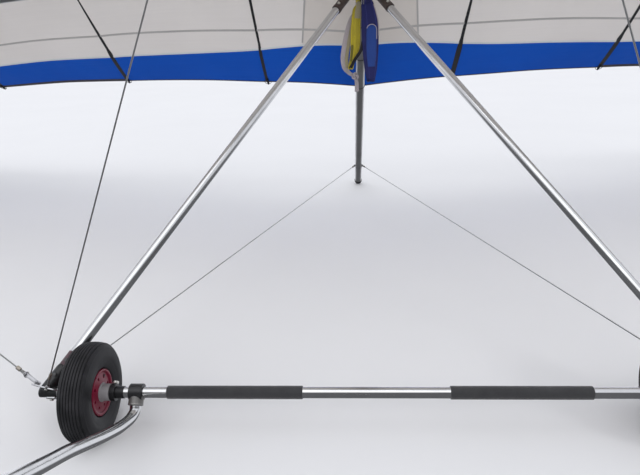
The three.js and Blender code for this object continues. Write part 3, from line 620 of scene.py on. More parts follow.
PALE_TAPE = seam_tape("seam_tape_pale", (0.60, 0.64, 0.64), (0.70, 0.73, 0.73))
SEAM_TAPE = seam_tape("seam_tape_grey", (0.40, 0.385, 0.37), (0.56, 0.55, 0.53))
HEM_TAPE = seam_tape("hem_tape_dark", (0.045, 0.037, 0.050), (0.16, 0.15, 0.17))


def webbing(name, light, dark, dirty, rows=()):
    """Herringbone webbing: slanted ribs that meet in the middle, with lines of stitching along it."""
    material, tree, place, uv = blank(name, 0.78, Sheen_Weight=0.05)
    round_at, run = apart(tree, uv)
    slant = sums(tree, "ADD", sums(tree, "PINGPONG", round_at, 0.006), run)
    height = sums(tree, "MULTIPLY_ADD", wave(tree, round_at, 0.0009), 0.3, wave(tree, slant, 0.0024))
    shade = put(tree, "MapRange", Value=height, From_Min=-1.2, From_Max=0.8)
    dirt = sums(tree, "MULTIPLY", use(tree, MOTTLE, Vector=place, Scale=22.0), 0.5)
    colour = blend_colours(tree, dirt, blend_colours(tree, shade, dark, light), dirty)
    lengthways = put(tree, "CombineXYZ", X=run, Y=round_at)
    for row in rows:
        sewn = use(tree, STITCH, Vector=lengthways, Row=row, Pitch=0.004, Width=0.001, Thread=0.0005)
        colour = blend_colours(tree, sewn, colour, [min(1, c * 1.7 + 0.02) for c in light])
    return dressed(material, colour, None, height, 0.0003)


ROWS = (0.008, 0.030, 0.048, 0.070)
YELLOW_WEB = webbing("webbing_yellow", (0.50, 0.40, 0.020), (0.30, 0.24, 0.010), (0.30, 0.25, 0.03), ROWS)
BLUE_WEB = webbing("webbing_navy", (0.012, 0.015, 0.13), (0.005, 0.007, 0.058), (0.010, 0.012, 0.06), ROWS)
BRIGHT_BLUE_WEB = webbing("webbing_blue", (0.012, 0.055, 0.29), (0.006, 0.028, 0.17), (0.01, 0.04, 0.15))
PALE_WEB = webbing("webbing_pale", (0.44, 0.39, 0.42), (0.28, 0.25, 0.26), (0.30, 0.27, 0.25))
# A darker copy of the yellow webbing: painted shade for the edge of the main strap's far layer, which lies in
# shadow.
YELLOW_WEB_PAINTED_SHADE = webbing("webbing_yellow_painted_shade", (0.17, 0.15, 0.012), (0.09, 0.08, 0.008), (0.10, 0.09, 0.02))
TAN_WEB = webbing("webbing_tan", (0.37, 0.33, 0.21), (0.22, 0.19, 0.11), (0.24, 0.21, 0.13))
BLACK_WEB = webbing("webbing_black", (0.014, 0.013, 0.015), (0.006, 0.006, 0.007), (0.02, 0.019, 0.018))
print("finishes:", len(bpy.data.materials))

# %% [markdown]
# The sail is one broad surface, so it is modelled from one grid. A table of stations says, from the root to
# the tip, where the leading and trailing edges lie and how deep the cloth is cambered. A smooth curve goes
# through the stations, and every grid point asks it for its place. Each half of the sail uses the same
# stations, and the cloth runs through over the keel.

# %% The sail's shape
SWEEP, RISE, NOSE_Y, SPAR_R = 0.515, 0.03, -1.510, 0.026
# Distance out at the leading and at the trailing edge, the trailing edge's y and z, camber, how far the
# cloth wraps the spar, and how far it lies above and behind the spar.
STATIONS = [
    (0.0, 0.0, 0.835, 0.092, 0.055, 0.05, 0.022, 0.156),
    (0.16, 0.15, 0.842, 0.112, 0.060, 0.08, 0.016, 0.076),
    (0.30, 0.29, 0.855, 0.135, 0.066, 0.10, 0.0, 0.0),
    (0.302, 0.292, 0.8553, 0.1354, 0.066, 1.0, 0.0, 0.0),
    (0.50, 0.50, 0.880, 0.170, 0.070, 1.0, 0.0, 0.0),
    (1.35, 1.35, 1.010, 0.300, 0.078, 1.0, 0.0, 0.0),
    (2.25, 2.25, 1.200, 0.420, 0.080, 1.0, 0.0, 0.0),
    (3.15, 3.165, 1.412, 0.502, 0.080, 1.0, 0.0, 0.0),
    (4.02, 4.055, 1.655, 0.520, 0.077, 1.0, 0.0, 0.0),
    (4.83, 4.885, 1.880, 0.480, 0.066, 1.0, 0.0, 0.0),
    (5.15, 5.230, 1.945, 0.450, 0.055, 1.0, 0.0, 0.0),
    (5.36, 5.480, 1.960, 0.420, 0.040, 1.0, 0.0, 0.0),
]
SMOOTH_COLUMNS = (1, 2, 3, 4)
BATTENS = [0.50, 1.35, 2.25, 3.15, 4.02, 4.83]
TIP_X = STATIONS[-1][0]
CLOTH_MID, SPAR_GAP, OVER_SPAR = 0.0015, 0.0014, 0.003
CAMBER_SHAPE, BELLY, CREASE, DRAW = 6.75, 0.008, 0.0022, 0.007


def spar_axis(x):
    return Vector((x, NOSE_Y + SWEEP * abs(x), RISE * abs(x)))


def station(x):
    """The stations' values at that distance from the keel, on a smooth curve through them."""
    i = 0
    while i < len(STATIONS) - 2 and STATIONS[i + 1][0] < x:
        i += 1
    before, a, b, after = (STATIONS[min(max(i + k, 0), len(STATIONS) - 1)] for k in (-1, 0, 1, 2))
    width = b[0] - a[0]
    t = (x - a[0]) / width
    values = [low + (high - low) * t for low, high in zip(a, b)]
    t2, t3 = t * t, t ** 3
    for k in SMOOTH_COLUMNS:
        lead = (b[k] - before[k]) / (b[0] - before[0]) * width
        trail = (after[k] - a[k]) / (after[0] - a[0]) * width
        values[k] = ((2 * t3 - 3 * t2 + 1) * a[k] + (t3 - 2 * t2 + t) * lead
                     + (3 * t2 - 2 * t3) * b[k] + (t3 - t2) * trail)
    return values


def bay(x):
    """Where x lies between two battens, from 0 to 1."""
    stops = [0.0] + BATTENS + [TIP_X]
    return next(((x - a) / (b - a) for a, b in zip(stops, stops[1:]) if x <= b), 1.0)


def chord(x):
    values = station(abs(x))
    spar = spar_axis(abs(x))
    return math.hypot(values[2] - spar.y - values[7], values[3] - spar.z)


def flip(point, sign):
    """The same point on the side that sign says."""
    return Vector((point[0] * sign, point[1], point[2]))


def cloth_point(x, v, lift=0.0, slack=True):
    """A point of the cloth at station x, v metres ahead of the trailing edge, lifted off the cloth."""
    reach_x, te_x, te_y, te_z, camber, _, raised, setback = station(abs(x))
    spar = spar_axis(reach_x)
    le_y = spar.y + setback
    along = Vector((te_y - le_y, te_z - spar.z))
    length = along.length
    s = 1 - v / length
    rise = SPAR_R + SPAR_GAP + OVER_SPAR + raised
    height = rise * (1 - s) ** 2 + camber * CAMBER_SHAPE * s * (1 - s) ** 2 * length - CLOTH_MID
    if slack:
        belly = math.sin(math.pi * bay(reach_x))
        height += BELLY * belly * math.sin(math.pi * min(max(s, 0), 1)) ** 0.6
        height += CREASE * noise.noise(Vector((x * 3.1, v * 1.3, 4.0)))
        s -= DRAW * belly * max(0.0, s) ** 8 / length
    height += lift
    return flip((reach_x + (te_x - reach_x) * s,
                 le_y + along.x * s - along.y / length * height,
                 spar.z + along.y * s + along.x / length * height), -1 if x < 0 else 1)


def band_width(x):
    """How wide the blue band along the trailing edge is."""
    return 0.235 + 0.080 * math.exp(-((x / 0.55) ** 2))


print("chord at the keel and at the tip:", round(chord(0), 3), round(chord(TIP_X), 3))

# %% [markdown]
# The grid's rows are placed so that one runs along the blue band's edge and one along each seam. The colour
# then changes exactly on an edge of the mesh, as a seam does on cloth. The first rows wrap the leading edge
# tube and come back under the sail, which makes the pocket the tube lives in.

# %% The sail
SEAMS = (0.40, 1.02, 1.60)
HEM, JOIN = 0.026, 0.012
ARC_TOP, ARC_SWEEP, POCKET_BACK = math.radians(100), math.radians(205), 0.070
POCKET_STEPS, ARC_STEPS, FRONT_STEPS, BACK_STEPS = 8, 16, 34, 13
WRAP_STEPS = POCKET_STEPS + ARC_STEPS
BLUE_FROM = WRAP_STEPS + FRONT_STEPS + 5
WINDOW = (3.42, 3.84)


def lay_out(bm, spot):
    """Fills the UV map with what spot says for each point."""
    uv = bm.loops.layers.uv["UVMap"]
    for face in bm.faces:
        for loop in face.loops:
            loop[uv].uv = spot(loop.vert)


def sail_row(x, row):
    """(point, metres ahead of the trailing edge) for a row of the grid, from the pocket's edge to the hem."""
    values = station(abs(x))
    wrap, raised, setback = values[5:]
    length = chord(x)
    if row < WRAP_STEPS:
        radius = SPAR_R + SPAR_GAP + CLOTH_MID
        end = ARC_TOP + ARC_SWEEP * wrap
        turn = end - (end - ARC_TOP) * max(0, row - POCKET_STEPS) / ARC_STEPS
        spar = spar_axis(values[0])
        on_tube = Vector((x, spar.y + setback + math.hypot(1, SWEEP) * radius * math.cos(turn),
                          spar.z + raised + radius * math.sin(turn)))
        back = max(0, POCKET_STEPS - row) / POCKET_STEPS
        if wrap == 1:
            sewn = cloth_point(x, length * (1 - POCKET_BACK), -0.0018)
            on_tube = on_tube.lerp(sewn, back) - Z * 0.006 * math.sin(math.pi * back)
        return on_tube, length + 0.03 + 0.012 * (WRAP_STEPS - row)
    row -= WRAP_STEPS
    start = length * 0.97
    if row <= FRONT_STEPS:
        v = start + (0.46 - start) * (row / FRONT_STEPS) ** 1.1
        return cloth_point(x, v), v
    edge = band_width(abs(x))
    steps = [SEAMS[0] + JOIN, SEAMS[0], (SEAMS[0] + edge + JOIN) / 2, edge + JOIN]
    steps += evenly(edge, HEM, 5) + [0.013, 0.005, 0.0]
    v = steps[row - FRONT_STEPS - 1]
    return cloth_point(x, v), v


row_count = WRAP_STEPS + FRONT_STEPS + BACK_STEPS
half_columns = [0.0, 0.016, 0.034, 0.052]
stops = [0.07] + BATTENS + [TIP_X]
for a, b in zip(stops, stops[1:]):
    half_columns += evenly(a, b, round((b - a) / 0.042))[:-1]
half_columns.append(TIP_X)
columns = [-x for x in reversed(half_columns[1:])] + half_columns
bm = bench()
bmesh.ops.create_grid(bm, x_segments=len(columns) - 1, y_segments=row_count, size=0.5)
where = {}
for vert in bm.verts:
    x = columns[round((vert.co.x + 0.5) * (len(columns) - 1))]
    row = round((vert.co.y + 0.5) * row_count)
    vert.co, v = sail_row(x, row)
    where[vert] = (x, v, row)
lay_out(bm, lambda vert: where[vert][:2])
unwanted = []
for face in bm.faces:
    spots = [where[vert] for vert in face.verts]
    face.material_index = 1 if min(s[2] for s in spots) >= BLUE_FROM else 0
    in_window = all(WINDOW[0] <= abs(s[0]) <= WINDOW[1] and s[2] <= POCKET_STEPS + 5 for s in spots)
    at_kingpost = face.calc_center_median().xy.length < 0.05 and spots[0][2] > WRAP_STEPS
    if in_window or at_kingpost:
        unwanted.append(face)
bmesh.ops.delete(bm, geom=unwanted, context="FACES")
bmesh.ops.recalc_face_normals(bm, faces=bm.faces)
cut_area = sum(face.calc_area() for face in bm.faces)
sail = piece("sail", "sailcloth", [PALE_CLOTH, BLUE_CLOTH], [(bm, None)], "sail_left", "sail_right", sharp=60)
thick = sail.modifiers.new("cloth", "SOLIDIFY")
thick.thickness = 0.0009
thick.offset = 0
print(f"sail: {len(sail.data.polygons)} faces, {cut_area:.1f} square metres of cloth")

# %% [markdown]
# Sewn tape lies on the cloth on both sides of every seam. Each strip is a small grid whose points are asked
# from the same cloth function, a fraction of a millimetre off it, so the strips can never leave the sail.

# %% Seams and hems
SIDES = (("left", -1), ("right", 1))


def strip(path, width, lift, thick=0.0005):
    """A tape that follows a path of (x, v) spots on the cloth."""
    part = bench()
    bmesh.ops.create_grid(part, x_segments=len(path) - 1, y_segments=2, size=0.5)
    spots = []
    travelled = 0.0
    for i, (x, v) in enumerate(path):
        a, b = path[max(i - 1, 0)], path[min(i + 1, len(path) - 1)]
        if i:
            travelled += math.hypot(x - a[0], v - a[1])
        way = Vector((b[0] - a[0], b[1] - a[1])).normalized()
        spots.append((x, v, -way.y * width / 2, way.x * width / 2, travelled))
    on_map = {}
    for vert in part.verts:
        x, v, dx, dv, travelled = spots[round((vert.co.x + 0.5) * (len(path) - 1))]
        share = vert.co.y * 2
        vert.co = cloth_point(x + dx * share, v + dv * share, lift)
        on_map[vert] = (travelled, width / 2 * share)
    lay_out(part, on_map.get)
    bmesh.ops.recalc_face_normals(part, faces=part.faces)
    bmesh.ops.solidify(part, geom=part.faces[:], thickness=thick)
    return part


def span_path(low, high, v_of):
    return [(x, v_of(x)) for x in evenly(low, high, max(2, round((high - low) / 0.05)))]


def both_sides(path):
    return [[(sign * x, v) for x, v in path] for _, sign in SIDES]


parts = []
for lift in (-0.0008, 0.0008):
    for v in SEAMS:
        limit = next((x for x in half_columns if chord(x) * 0.93 < v), TIP_X) - 0.01
        parts.append((strip(span_path(-limit, limit, lambda x: v + JOIN / 2), 0.013, lift), 1))
    band_edge = span_path(-TIP_X + 0.005, TIP_X - 0.005, lambda x: band_width(abs(x)) + JOIN / 2)
    parts.append(strip(band_edge, 0.012, lift))
    panel_edge = [(PANEL_HALF - PANEL_SLANT * v, v) for v in [0.32 + 0.05 * k for k in range(34)]]
    under_spar = span_path(PANEL_HALF, TIP_X - 0.01, lambda x: chord(x) * 0.90)
    for panel, spar in zip(both_sides(panel_edge), both_sides(under_spar)):
        parts += [(strip(panel, 0.008, lift * 1.6), 1), (strip(spar, 0.014, lift), 1)]
seams = piece("sail_seams", "sailcloth", [PALE_TAPE, SEAM_TAPE], parts, sharp=60)

HEM_FROM = 1.36
parts = []
for lift in (-0.0008, 0.0008):
    for outer in both_sides(span_path(HEM_FROM, TIP_X - 0.004, lambda x: HEM / 2)):
        parts.append(strip(outer, HEM, lift))
    parts.append(strip(span_path(-HEM_FROM, HEM_FROM, lambda x: 0.004), 0.008, lift))
hem = piece("sail_hem", "sailcloth", [HEM_TAPE], parts, sharp=60)
print("tape pieces:", seams.name, len(seams.data.polygons), hem.name, len(hem.data.polygons))

# %% [markdown]
# A batten is a bent tube in a long pocket sewn under the sail. The pocket is drawn as one section, flat where
# it is sewn and round where the batten lies, pulled along the cloth. It widens at the tail, where the cloth
# is doubled. A cord loop from the batten's tip holds the trailing edge tight.

# %% Battens
POCKET = [(-0.0075, 0.0), (-0.0075, -0.0007), (-0.0052, -0.0012), (-0.0046, -0.0040), (-0.0036, -0.0068),
          (-0.0018, -0.0084), (0.0, -0.0089)]
POCKET += [(-a, b) for a, b in POCKET[-2::-1]]
TIP_CAP = [(0, 0.020), (0.0030, 0.019), (0.0052, 0.015), (0.0062, 0.006), (0.0062, 0), (0, 0)]


def batten(x):
    """Three parts: the pocket, the batten's tip with its cap, and the cord loop."""
    spots = evenly(chord(x) * 0.80, 0.004, 44)
    path = [cloth_point(x, v, -0.0012, slack=False) for v in spots]
    widths = [(1.0 + 0.75 * min(1, max(0, (0.30 - v) / 0.04)), 1.0) for v in spots]
    widths[0] = (0.9, 0.12)
    tail = (path[-1] - path[-3]).normalized()
    tip = path[-1] - Z * 0.004
    hook = tip + tail * 0.017
    cord = [hook + (X * (math.cos(turn) * 0.017) + tail * (0.020 * math.sin(turn)) - tail * 0.020)
            for turn in evenly(0, math.pi, 12)]
    cord = [cord[0] - tail * 0.012 + Z * 0.003] + cord + [cord[-1] - tail * 0.012 + Z * 0.003]
    return [swept(path, POCKET, X, widths), (tube(tip - tail * 0.03, tip + tail * 0.012, 0.0052, 20), 1),
            (spun(TIP_CAP, tip, tail, 20), 1), (swept(cord, circle(0.0013, 8), Z), 2)]


for side, sign in SIDES:
    for number, x in enumerate(BATTENS, 1):
        piece(f"batten_pocket_{side}_{number}", "batten_pocket", [BLACK_CLOTH, BLACK_PLASTIC, BLACK_CLOTH],
              batten(x), f"batten_{side}_{number}", sharp=50, sign=sign)
print("battens:", 2 * len(BATTENS))

# %% [markdown]
# The tubes come next: the keel, the leading edges in their pockets, the crossbar and the kingpost. They are
# plain lengths of round tube, so each is spun from its own profile with its ends finished: a moulded plug
# where the end is open.

# %% Keel, spars, crossbar and kingpost
KEEL_R, KEEL_END, SEAT = 0.022, 1.760, 0.0003
CROSS_ROOT = Vector((0.027, -0.090, 0.056))
JUNCTION_X, CROSS_TIP_X, CROSS_R = 3.720, 3.550, 0.025
CROSS_TIP = Vector((
    CROSS_TIP_X,
    CROSS_ROOT.y + (spar_axis(JUNCTION_X).y - CROSS_ROOT.y) * CROSS_TIP_X / JUNCTION_X,
    spar_axis(CROSS_TIP_X).z - 0.001,
))
KING_TOP, KING_R, KING_FOOT = 1.080, 0.0143, 0.052


def end_plug(at, along, radius):
    profile = [(0, 0.007), (radius * 0.72, 0.0065), (radius * 0.96, 0.0045), (radius * 1.04, 0.001),
               (radius * 1.04, -0.004), (radius * 0.9, -0.005), (radius * 0.9, -0.02), (0, -0.02)]
    return spun(profile, at, along, 40), 1


LINER = (-0.13, 0.16)
collar = [(KEEL_R, -0.004), (KEEL_R + 0.0011, -0.004), (KEEL_R + 0.0011, 0.004), (KEEL_R, 0.004)]
parts = [tube((0, NOSE_Y + 0.022, 0), (0, KEEL_END, 0), KEEL_R, 72)]
parts.append((tube((0, LINER[0], 0), (0, LINER[1], 0), KEEL_R + 0.0006, 72), 1))
parts += [(spun(collar, (0, y, 0), Y, 72, closed=True), 1) for y in LINER]
piece("keel", "tube", [SATIN, BLACK_PLASTIC], parts, "keel_tube")

for side, sign in SIDES:
    root, tip = flip(spar_axis(0.070), sign), flip(spar_axis(5.400), sign)
    piece(f"leading_edge_spar_{side}", "tube", [SATIN, BLACK_PLASTIC],
          [tube(root, tip, SPAR_R, 72), end_plug(tip, tip - root, SPAR_R * 0.95)], f"leading_edge_{side}")
    root, tip = flip(CROSS_ROOT, sign), flip(CROSS_TIP, sign)
    plugs = [end_plug(at, along, CROSS_R * 0.95) for at, along in ((root, root - tip), (tip, tip - root))]
    piece(f"crossbar_half_{side}", "tube", [SATIN, BLACK_PLASTIC], [tube(root, tip, CROSS_R, 72)] + plugs,
          f"crossbar_{side}")

piece("kingpost_tube", "tube", [POLISHED], [tube((0, 0, KING_FOOT + SEAT), (0, 0, KING_TOP), KING_R, 56)],
      "kingpost")
foot = [(0, 0.004), (0.0205, 0.004), (0.0205, 0.010), (0.019, 0.012), (0.019, 0.027), (0.0175, 0.030),
        (0, 0.030)]
piece("kingpost_foot", "black_plastic", [BLACK_PLASTIC],
      [block((0.048, 0.052, 0.0078), (0, 0, KEEL_R + 0.0042), 0.002), spun(foot, (0, 0, KEEL_R), Z, 48)],
      "kingpost_base")
crown = [(0, 0.0), (0.0172, 0), (0.018, 0.0008), (0.018, 0.024), (0.0165, 0.0262), (0.006, 0.0275),
         (0, 0.0275)]
parts = [spun(crown, (0, 0, KING_TOP + SEAT), Z, 48)]
for quarter in (0, math.pi / 2):
    tang = moved(plate(oblong(0.032, 0.007), 0.004, corner=0.006), along=Y)
    parts.append(moved(tang, (0, 0, KING_TOP + 0.013), turn=Matrix.Rotation(quarter, 4, "Z")))
parts.append((bolt((0, 0, KING_TOP + 0.028), Z, nut=False), 1))
piece("kingpost_crown", "steel", [PLATE, FASTENER], parts, "kingpost_cap")

# %% [markdown]
# The patch round the kingpost is a doubled ring of cloth with a rubber boot. It covers the raw edge of the
# hole in the sail on both sides.

# %% Kingpost patch
ROOT_TE, NEAR_ZERO = station(0.0)[2], 1e-6
parts = []
for lift in (-0.0010, 0.0010):
    part = bench()
    bmesh.ops.create_circle(part, cap_ends=False, radius=0.017, segments=48)
    rims = part.edges[:]
    for radius in (0.030, 0.050, 0.068, 0.086):
        ring, rims = drawn_out(bmesh.ops.extrude_edge_only(part, edges=rims))
        grow = radius / ring[0].co.length
        bmesh.ops.scale(part, vec=(grow, grow, 1), verts=ring)
    for vert in part.verts:
        x, y, _ = vert.co
        vert.co.z = cloth_point(x or NEAR_ZERO, station(abs(x))[2] - y, lift).z
    bmesh.ops.recalc_face_normals(part, faces=part.faces)
    bmesh.ops.solidify(part, geom=part.faces[:], thickness=0.0006)
    parts.append(part)
boot = [(KING_R + 0.0004, 0.016), (KING_R + 0.0022, 0.016), (0.0195, 0.006), (0.030, 0.002), (0.030, 0.0008),
        (0.0175, 0.0), (KING_R + 0.0004, 0.004)]
boot_z = cloth_point(NEAR_ZERO, ROOT_TE).z + 0.0008
parts.append((spun(boot, (0, 0, boot_z), Z, 48, closed=True), 1))
piece("kingpost_patch", "sailcloth", [BLACK_CLOTH, BLACK_PLASTIC], parts)

# %% [markdown]
# Under the keel the two downtubes meet in dark moulded sockets, bolted to a steel bracket. At the bar each
# tube ends in a moulded corner. Plastic flows round a corner like that in one smooth skin, so the corner is
# put together from simple solids, remeshed into one and smoothed. Steel and bolts stay crisp on top of it.

# %% Control frame
TUBE_R, FOOT, HEAD, CAPSULE = 0.0143, 0.118, 0.155, 0.078
CORNER = Vector((0.865, BAR_Y, BAR_Z))
DOWN_TOP = Vector((0.028, -0.008, -0.050))
DOWN = (DOWN_TOP - CORNER).normalized()
KNUCKLE_IN = WHEEL_X + 0.028 + 0.001
GRIP_IN, GRIP_LONG, GRIP_R = 0.187, 0.539 - 0.187, 0.0168
TANG_TILT = 0.22
TANG_MID = CORNER + Vector((-0.003, 0, 0.010))
TANG_UP = Vector((-math.sin(TANG_TILT), 0, math.cos(TANG_TILT)))


def fused(parts, voxel=0.0011, rounds=5):
    """Remeshes overlapping solids into one skin and smooths it."""
    bm = joined(parts)
    mesh = bpy.data.meshes.new("fused")
    bm.to_mesh(mesh)
    bm.free()
    lump = placed("fused", mesh)
    skin = lump.modifiers.new("skin", "REMESH")
    skin.mode = "VOXEL"
    skin.voxel_size = voxel
    out = baked(lump)
    for _ in range(rounds):
        bmesh.ops.smooth_vert(
            out, verts=out.verts, factor=0.5, use_axis_x=True, use_axis_y=True, use_axis_z=True,
        )
    return out


def baked(*objects):
    """The first object's mesh with its modifiers, as a bmesh. The objects themselves go."""
    done = bpy.data.meshes.new_from_object(objects[0].evaluated_get(bpy.context.evaluated_depsgraph_get()))
    out = bench()
    out.from_mesh(done)
    bpy.data.meshes.remove(done)
    for obj in objects:
        mesh = obj.data
        bpy.data.objects.remove(obj)
        bpy.data.meshes.remove(mesh)
    return out


def on_tang(x, y):
    """A point on the middle of the corner's tilted tang."""
    return Vector((x, y, TANG_MID.z + (x - TANG_MID.x) * math.tan(TANG_TILT)))


def foot_on_tang(x, y, target, radius):
    """Where a wire stands on the corner's tang when it points at that target."""
    spot = on_tang(x, y) + TANG_UP * 0.002
    slant = (Vector(target) - spot).normalized().cross(TANG_UP).length
    return spot + TANG_UP * (SEAT + radius * slant)


def knuckle():
    """The right corner's parts."""
    capsule = [(0, -0.003), (0.0160, -0.003), (0.0182, 0.0), (0.0184, 0.010), (0.0184, 0.066), (0.0174, 0.073),
               (0.0160, CAPSULE), (0, CAPSULE)]
    stub = tube((0.826, BAR_Y, BAR_Z), CORNER + X * 0.0135, 0.0136, 48)
    parts = [fused([stub, spun(capsule, CORNER, DOWN, 48)])]
    long = FOOT - CAPSULE
    neck = [(0, 0), (0.0160, 0), (0.0163, 0.0008), (0.0163, long - 0.001), (0.0158, long), (0, long)]
    parts.append((spun(neck, CORNER + DOWN * CAPSULE, DOWN, 48), 4))
    sleeve = [(0, 0), (0.0160, 0), (0.0165, 0.0006), (0.0165, 0.058), (0, 0.058)]
    parts.append((spun(sleeve, (KNUCKLE_IN, BAR_Y, BAR_Z), X, 48), 3))
    tang = [(-0.042, -0.020), (-0.030, -0.030), (0.022, -0.030), (0.041, -0.012)]
    tang += [(x, -y) for x, y in reversed(tang)]
    parts.append((plate(tang, 0.004, TANG_MID, 0.005, turn=Matrix.Rotation(-TANG_TILT, 4, "Y")), 1))
    parts.append((block((0.023, 0.018, 0.0050), CORNER + Vector((-0.020, 0, -0.0150)), 0.0012), 1))
    parts.append((bolt(CORNER + Vector((-0.020, 0, -0.0174)), -Z, nut=False), 2))
    for down, out in ((0.050, 0.0184), (0.094, 0.0163)):
        parts.append(bolt(CORNER + DOWN * down - Y * out, -Y, 2 * out, 0.005))
    for x, y in ((0.850, -0.025), (0.862, 0.026)):
        parts.append((bolt(on_tang(x, BAR_Y + y) - TANG_UP * 0.0020, -TANG_UP, 0.0, 0.005, nut=False), 2))
    return parts


bar_end = KNUCKLE_IN - SEAT
piece("base_bar_tube", "tube", [POLISHED],
      [tube((-bar_end, BAR_Y, BAR_Z), (bar_end, BAR_Y, BAR_Z), TUBE_R, 72)], "base_bar")
head = [(0, 0), (0.0165, 0), (0.0178, 0.0012), (0.0178, 0.012), (0.0170, 0.0135), (0.0170, HEAD - 0.02),
        (0.0160, HEAD - 0.006), (0.0120, HEAD - 0.001), (0, HEAD)]
for side, sign in SIDES:
    ends = (flip(CORNER + DOWN * (FOOT + SEAT), sign), flip(DOWN_TOP - DOWN * (HEAD - 0.010), sign))
    piece(f"downtube_tube_{side}", "tube", [POLISHED], [tube(*ends, TUBE_R)], f"downtube_{side}")
    start, top = flip(DOWN_TOP - DOWN * HEAD, sign), flip(DOWN_TOP, sign)
    parts = [spun(head, start, top - start, 48)]
    parts += [(bolt(start.lerp(top, share) - Y * 0.0170, -Y, 0.034, 0.005), 1) for share in (0.14, 0.62)]
    piece(f"downtube_head_{side}", "black_plastic", [SOCKET, FASTENER], parts, f"downtube_socket_{side}")
    piece(f"corner_{side}", "black_plastic", [BLACK_PLASTIC, PLATE, FASTENER, SATIN, PLUM], knuckle(),
          f"corner_knuckle_{side}", sharp=40, sign=sign)
    foam_wall = [(GRIP_R + 0.0002 * noise.noise(Vector((k * 0.37, sign, 0))), at)
                 for k, at in enumerate(evenly(0.0014, GRIP_LONG - 0.0014, 60))][1:-1]
    wall = [(TUBE_R + SEAT, 0.0), (GRIP_R - 0.0012, 0.0), (GRIP_R, 0.0014)] + foam_wall
    wall += [(GRIP_R, GRIP_LONG - 0.0014), (GRIP_R - 0.0012, GRIP_LONG), (TUBE_R + SEAT, GRIP_LONG)]
    piece(f"grip_foam_{side}", "grip", [FOAM],
          [spun(wall, (sign * GRIP_IN, BAR_Y, BAR_Z), X * sign, 56, closed=True)], f"grip_{side}")

parts = [block((0.066, 0.070, 0.0112), (0, 0, -KEEL_R - 0.0062), 0.002)]
upright = Matrix.Rotation(math.pi / 2, 4, "Z") @ Matrix.Rotation(math.pi / 2, 4, "X")
for x in (-0.0038, 0.0038):
    parts.append(plate(oblong(0.034, -0.026, y_low=-0.110), 0.003, (x, 0, 0), 0.008, turn=upright))
parts.append((bolt((0.040, -0.008, -0.070), X, 0.080, 0.008), 1))
parts += [(bolt((0.0, y, -0.034), -Z, nut=False), 1) for y in (0.020, -0.024)]
piece("apex_plates", "steel", [PLATE, FASTENER], parts, "apex_bracket")

# %% [markdown]
# Each wheel is a small pneumatic one, as on a hand truck. The tyre is one spun profile: seven ribs on the
# tread, a round shoulder and a bead. The rim is a spun dish in crimson plastic with round holes, which are
# cut with a boolean, and a grey hub runs on the bar.

# %% Wheels
FLANK = [(0.0606, 0.0240), (0.0640, 0.0294), (0.0668, 0.0309), (0.0705, 0.0316), (0.0760, 0.0331),
         (0.0830, 0.0345), (0.0848, 0.0346), (0.0866, 0.0353), (0.0940, 0.0359), (0.1020, 0.0358),
         (0.1100, 0.0347), (0.1125, 0.0341), (0.1148, 0.0341), (0.1195, 0.0316), (0.1232, 0.0289)]
DISH = [(0.0215, 0.0284), (0.0290, 0.0282), (0.0325, 0.0268), (0.0450, 0.0260), (0.0485, 0.0252),
        (0.0512, 0.0258), (0.0528, 0.0290), (0.0556, 0.0302), (0.0594, 0.0297), (0.0601, 0.0270)]
RIBS, TREAD_HALF, GROOVE_R, CROWN = 7, 0.0260, 0.1262, 5.2
HOLES, HOLE_R, SCREWS, SCREW_AT = 8, 0.0400, 6, 0.0575
BORE = TUBE_R + 0.00025
HUB = [(BORE, -0.0528), (0.0194, -0.0528), (0.0210, -0.0521), (0.0219, -0.0500), (0.0219, -0.0332),
       (0.0226, -0.0318), (0.0242, -0.0308), (0.0250, -0.0282), (0.0250, 0.0282), (0.0242, 0.0298),
       (0.0215, 0.0298), (0.0198, 0.0280), (BORE, 0.0278)]
VALVE = [(0, 0.0), (0.0036, 0.0), (0.0036, 0.004), (0.0026, 0.005), (0.0026, 0.008), (0.0030, 0.0085),
         (0.0030, 0.0160), (0.0022, 0.0170), (0, 0.0170)]
STOP = [(TUBE_R + SEAT, -0.0220), (0.0152, -0.0220), (0.0158, -0.0214), (0.0158, 0.0), (0.0216, 0),
        (0.0226, 0.0010), (0.0226, 0.0120), (0.0216, 0.0130), (TUBE_R + SEAT, 0.0130)]
SCREW_HEAD = [(0, 0.0010), (0.0014, 0.0008), (0.0018, 0.0), (0, 0.0)]


def both_faces(half, between=()):
    """A wheel's profile from one half of it, the other half and what lies between."""
    return [(r, -x) for r, x in half] + list(between) + [(r, x) for r, x in reversed(half)]


def tread():
    """The tread's ribs: each has a flat crown between two grooves, and all follow the tyre's round."""
    pitch = 2 * TREAD_HALF / RIBS
    profile = []
    for k in range(RIBS):
        low = -TREAD_HALF + k * pitch
        left, middle, right = (WHEEL_R - CROWN * (low + pitch * share) ** 2 for share in (0.14, 0.5, 0.86))
        floor, next_floor = (GROOVE_R - CROWN * at ** 2 for at in (low, low + pitch))
        rib = ((floor, 0.04), (left - 0.0006, 0.12), (left, 0.22), (middle + 0.0002, 0.5), (right, 0.78),
               (right - 0.0006, 0.88), (next_floor, 0.96))
        profile += [(r, low + pitch * share) for r, share in rib]
    return profile


def bored(solid, holes):
    """Cuts the holes out of a solid with a boolean."""
    pair = []
    for label, content in (("solid", solid), ("holes", holes)):
        mesh = bpy.data.meshes.new(label)
        content.to_mesh(mesh)
        content.free()
        pair.append(placed(label, mesh))
    cut = pair[0].modifiers.new("cut", "BOOLEAN")
    cut.object = pair[1]
    cut.solver = "EXACT"
    return baked(*pair)


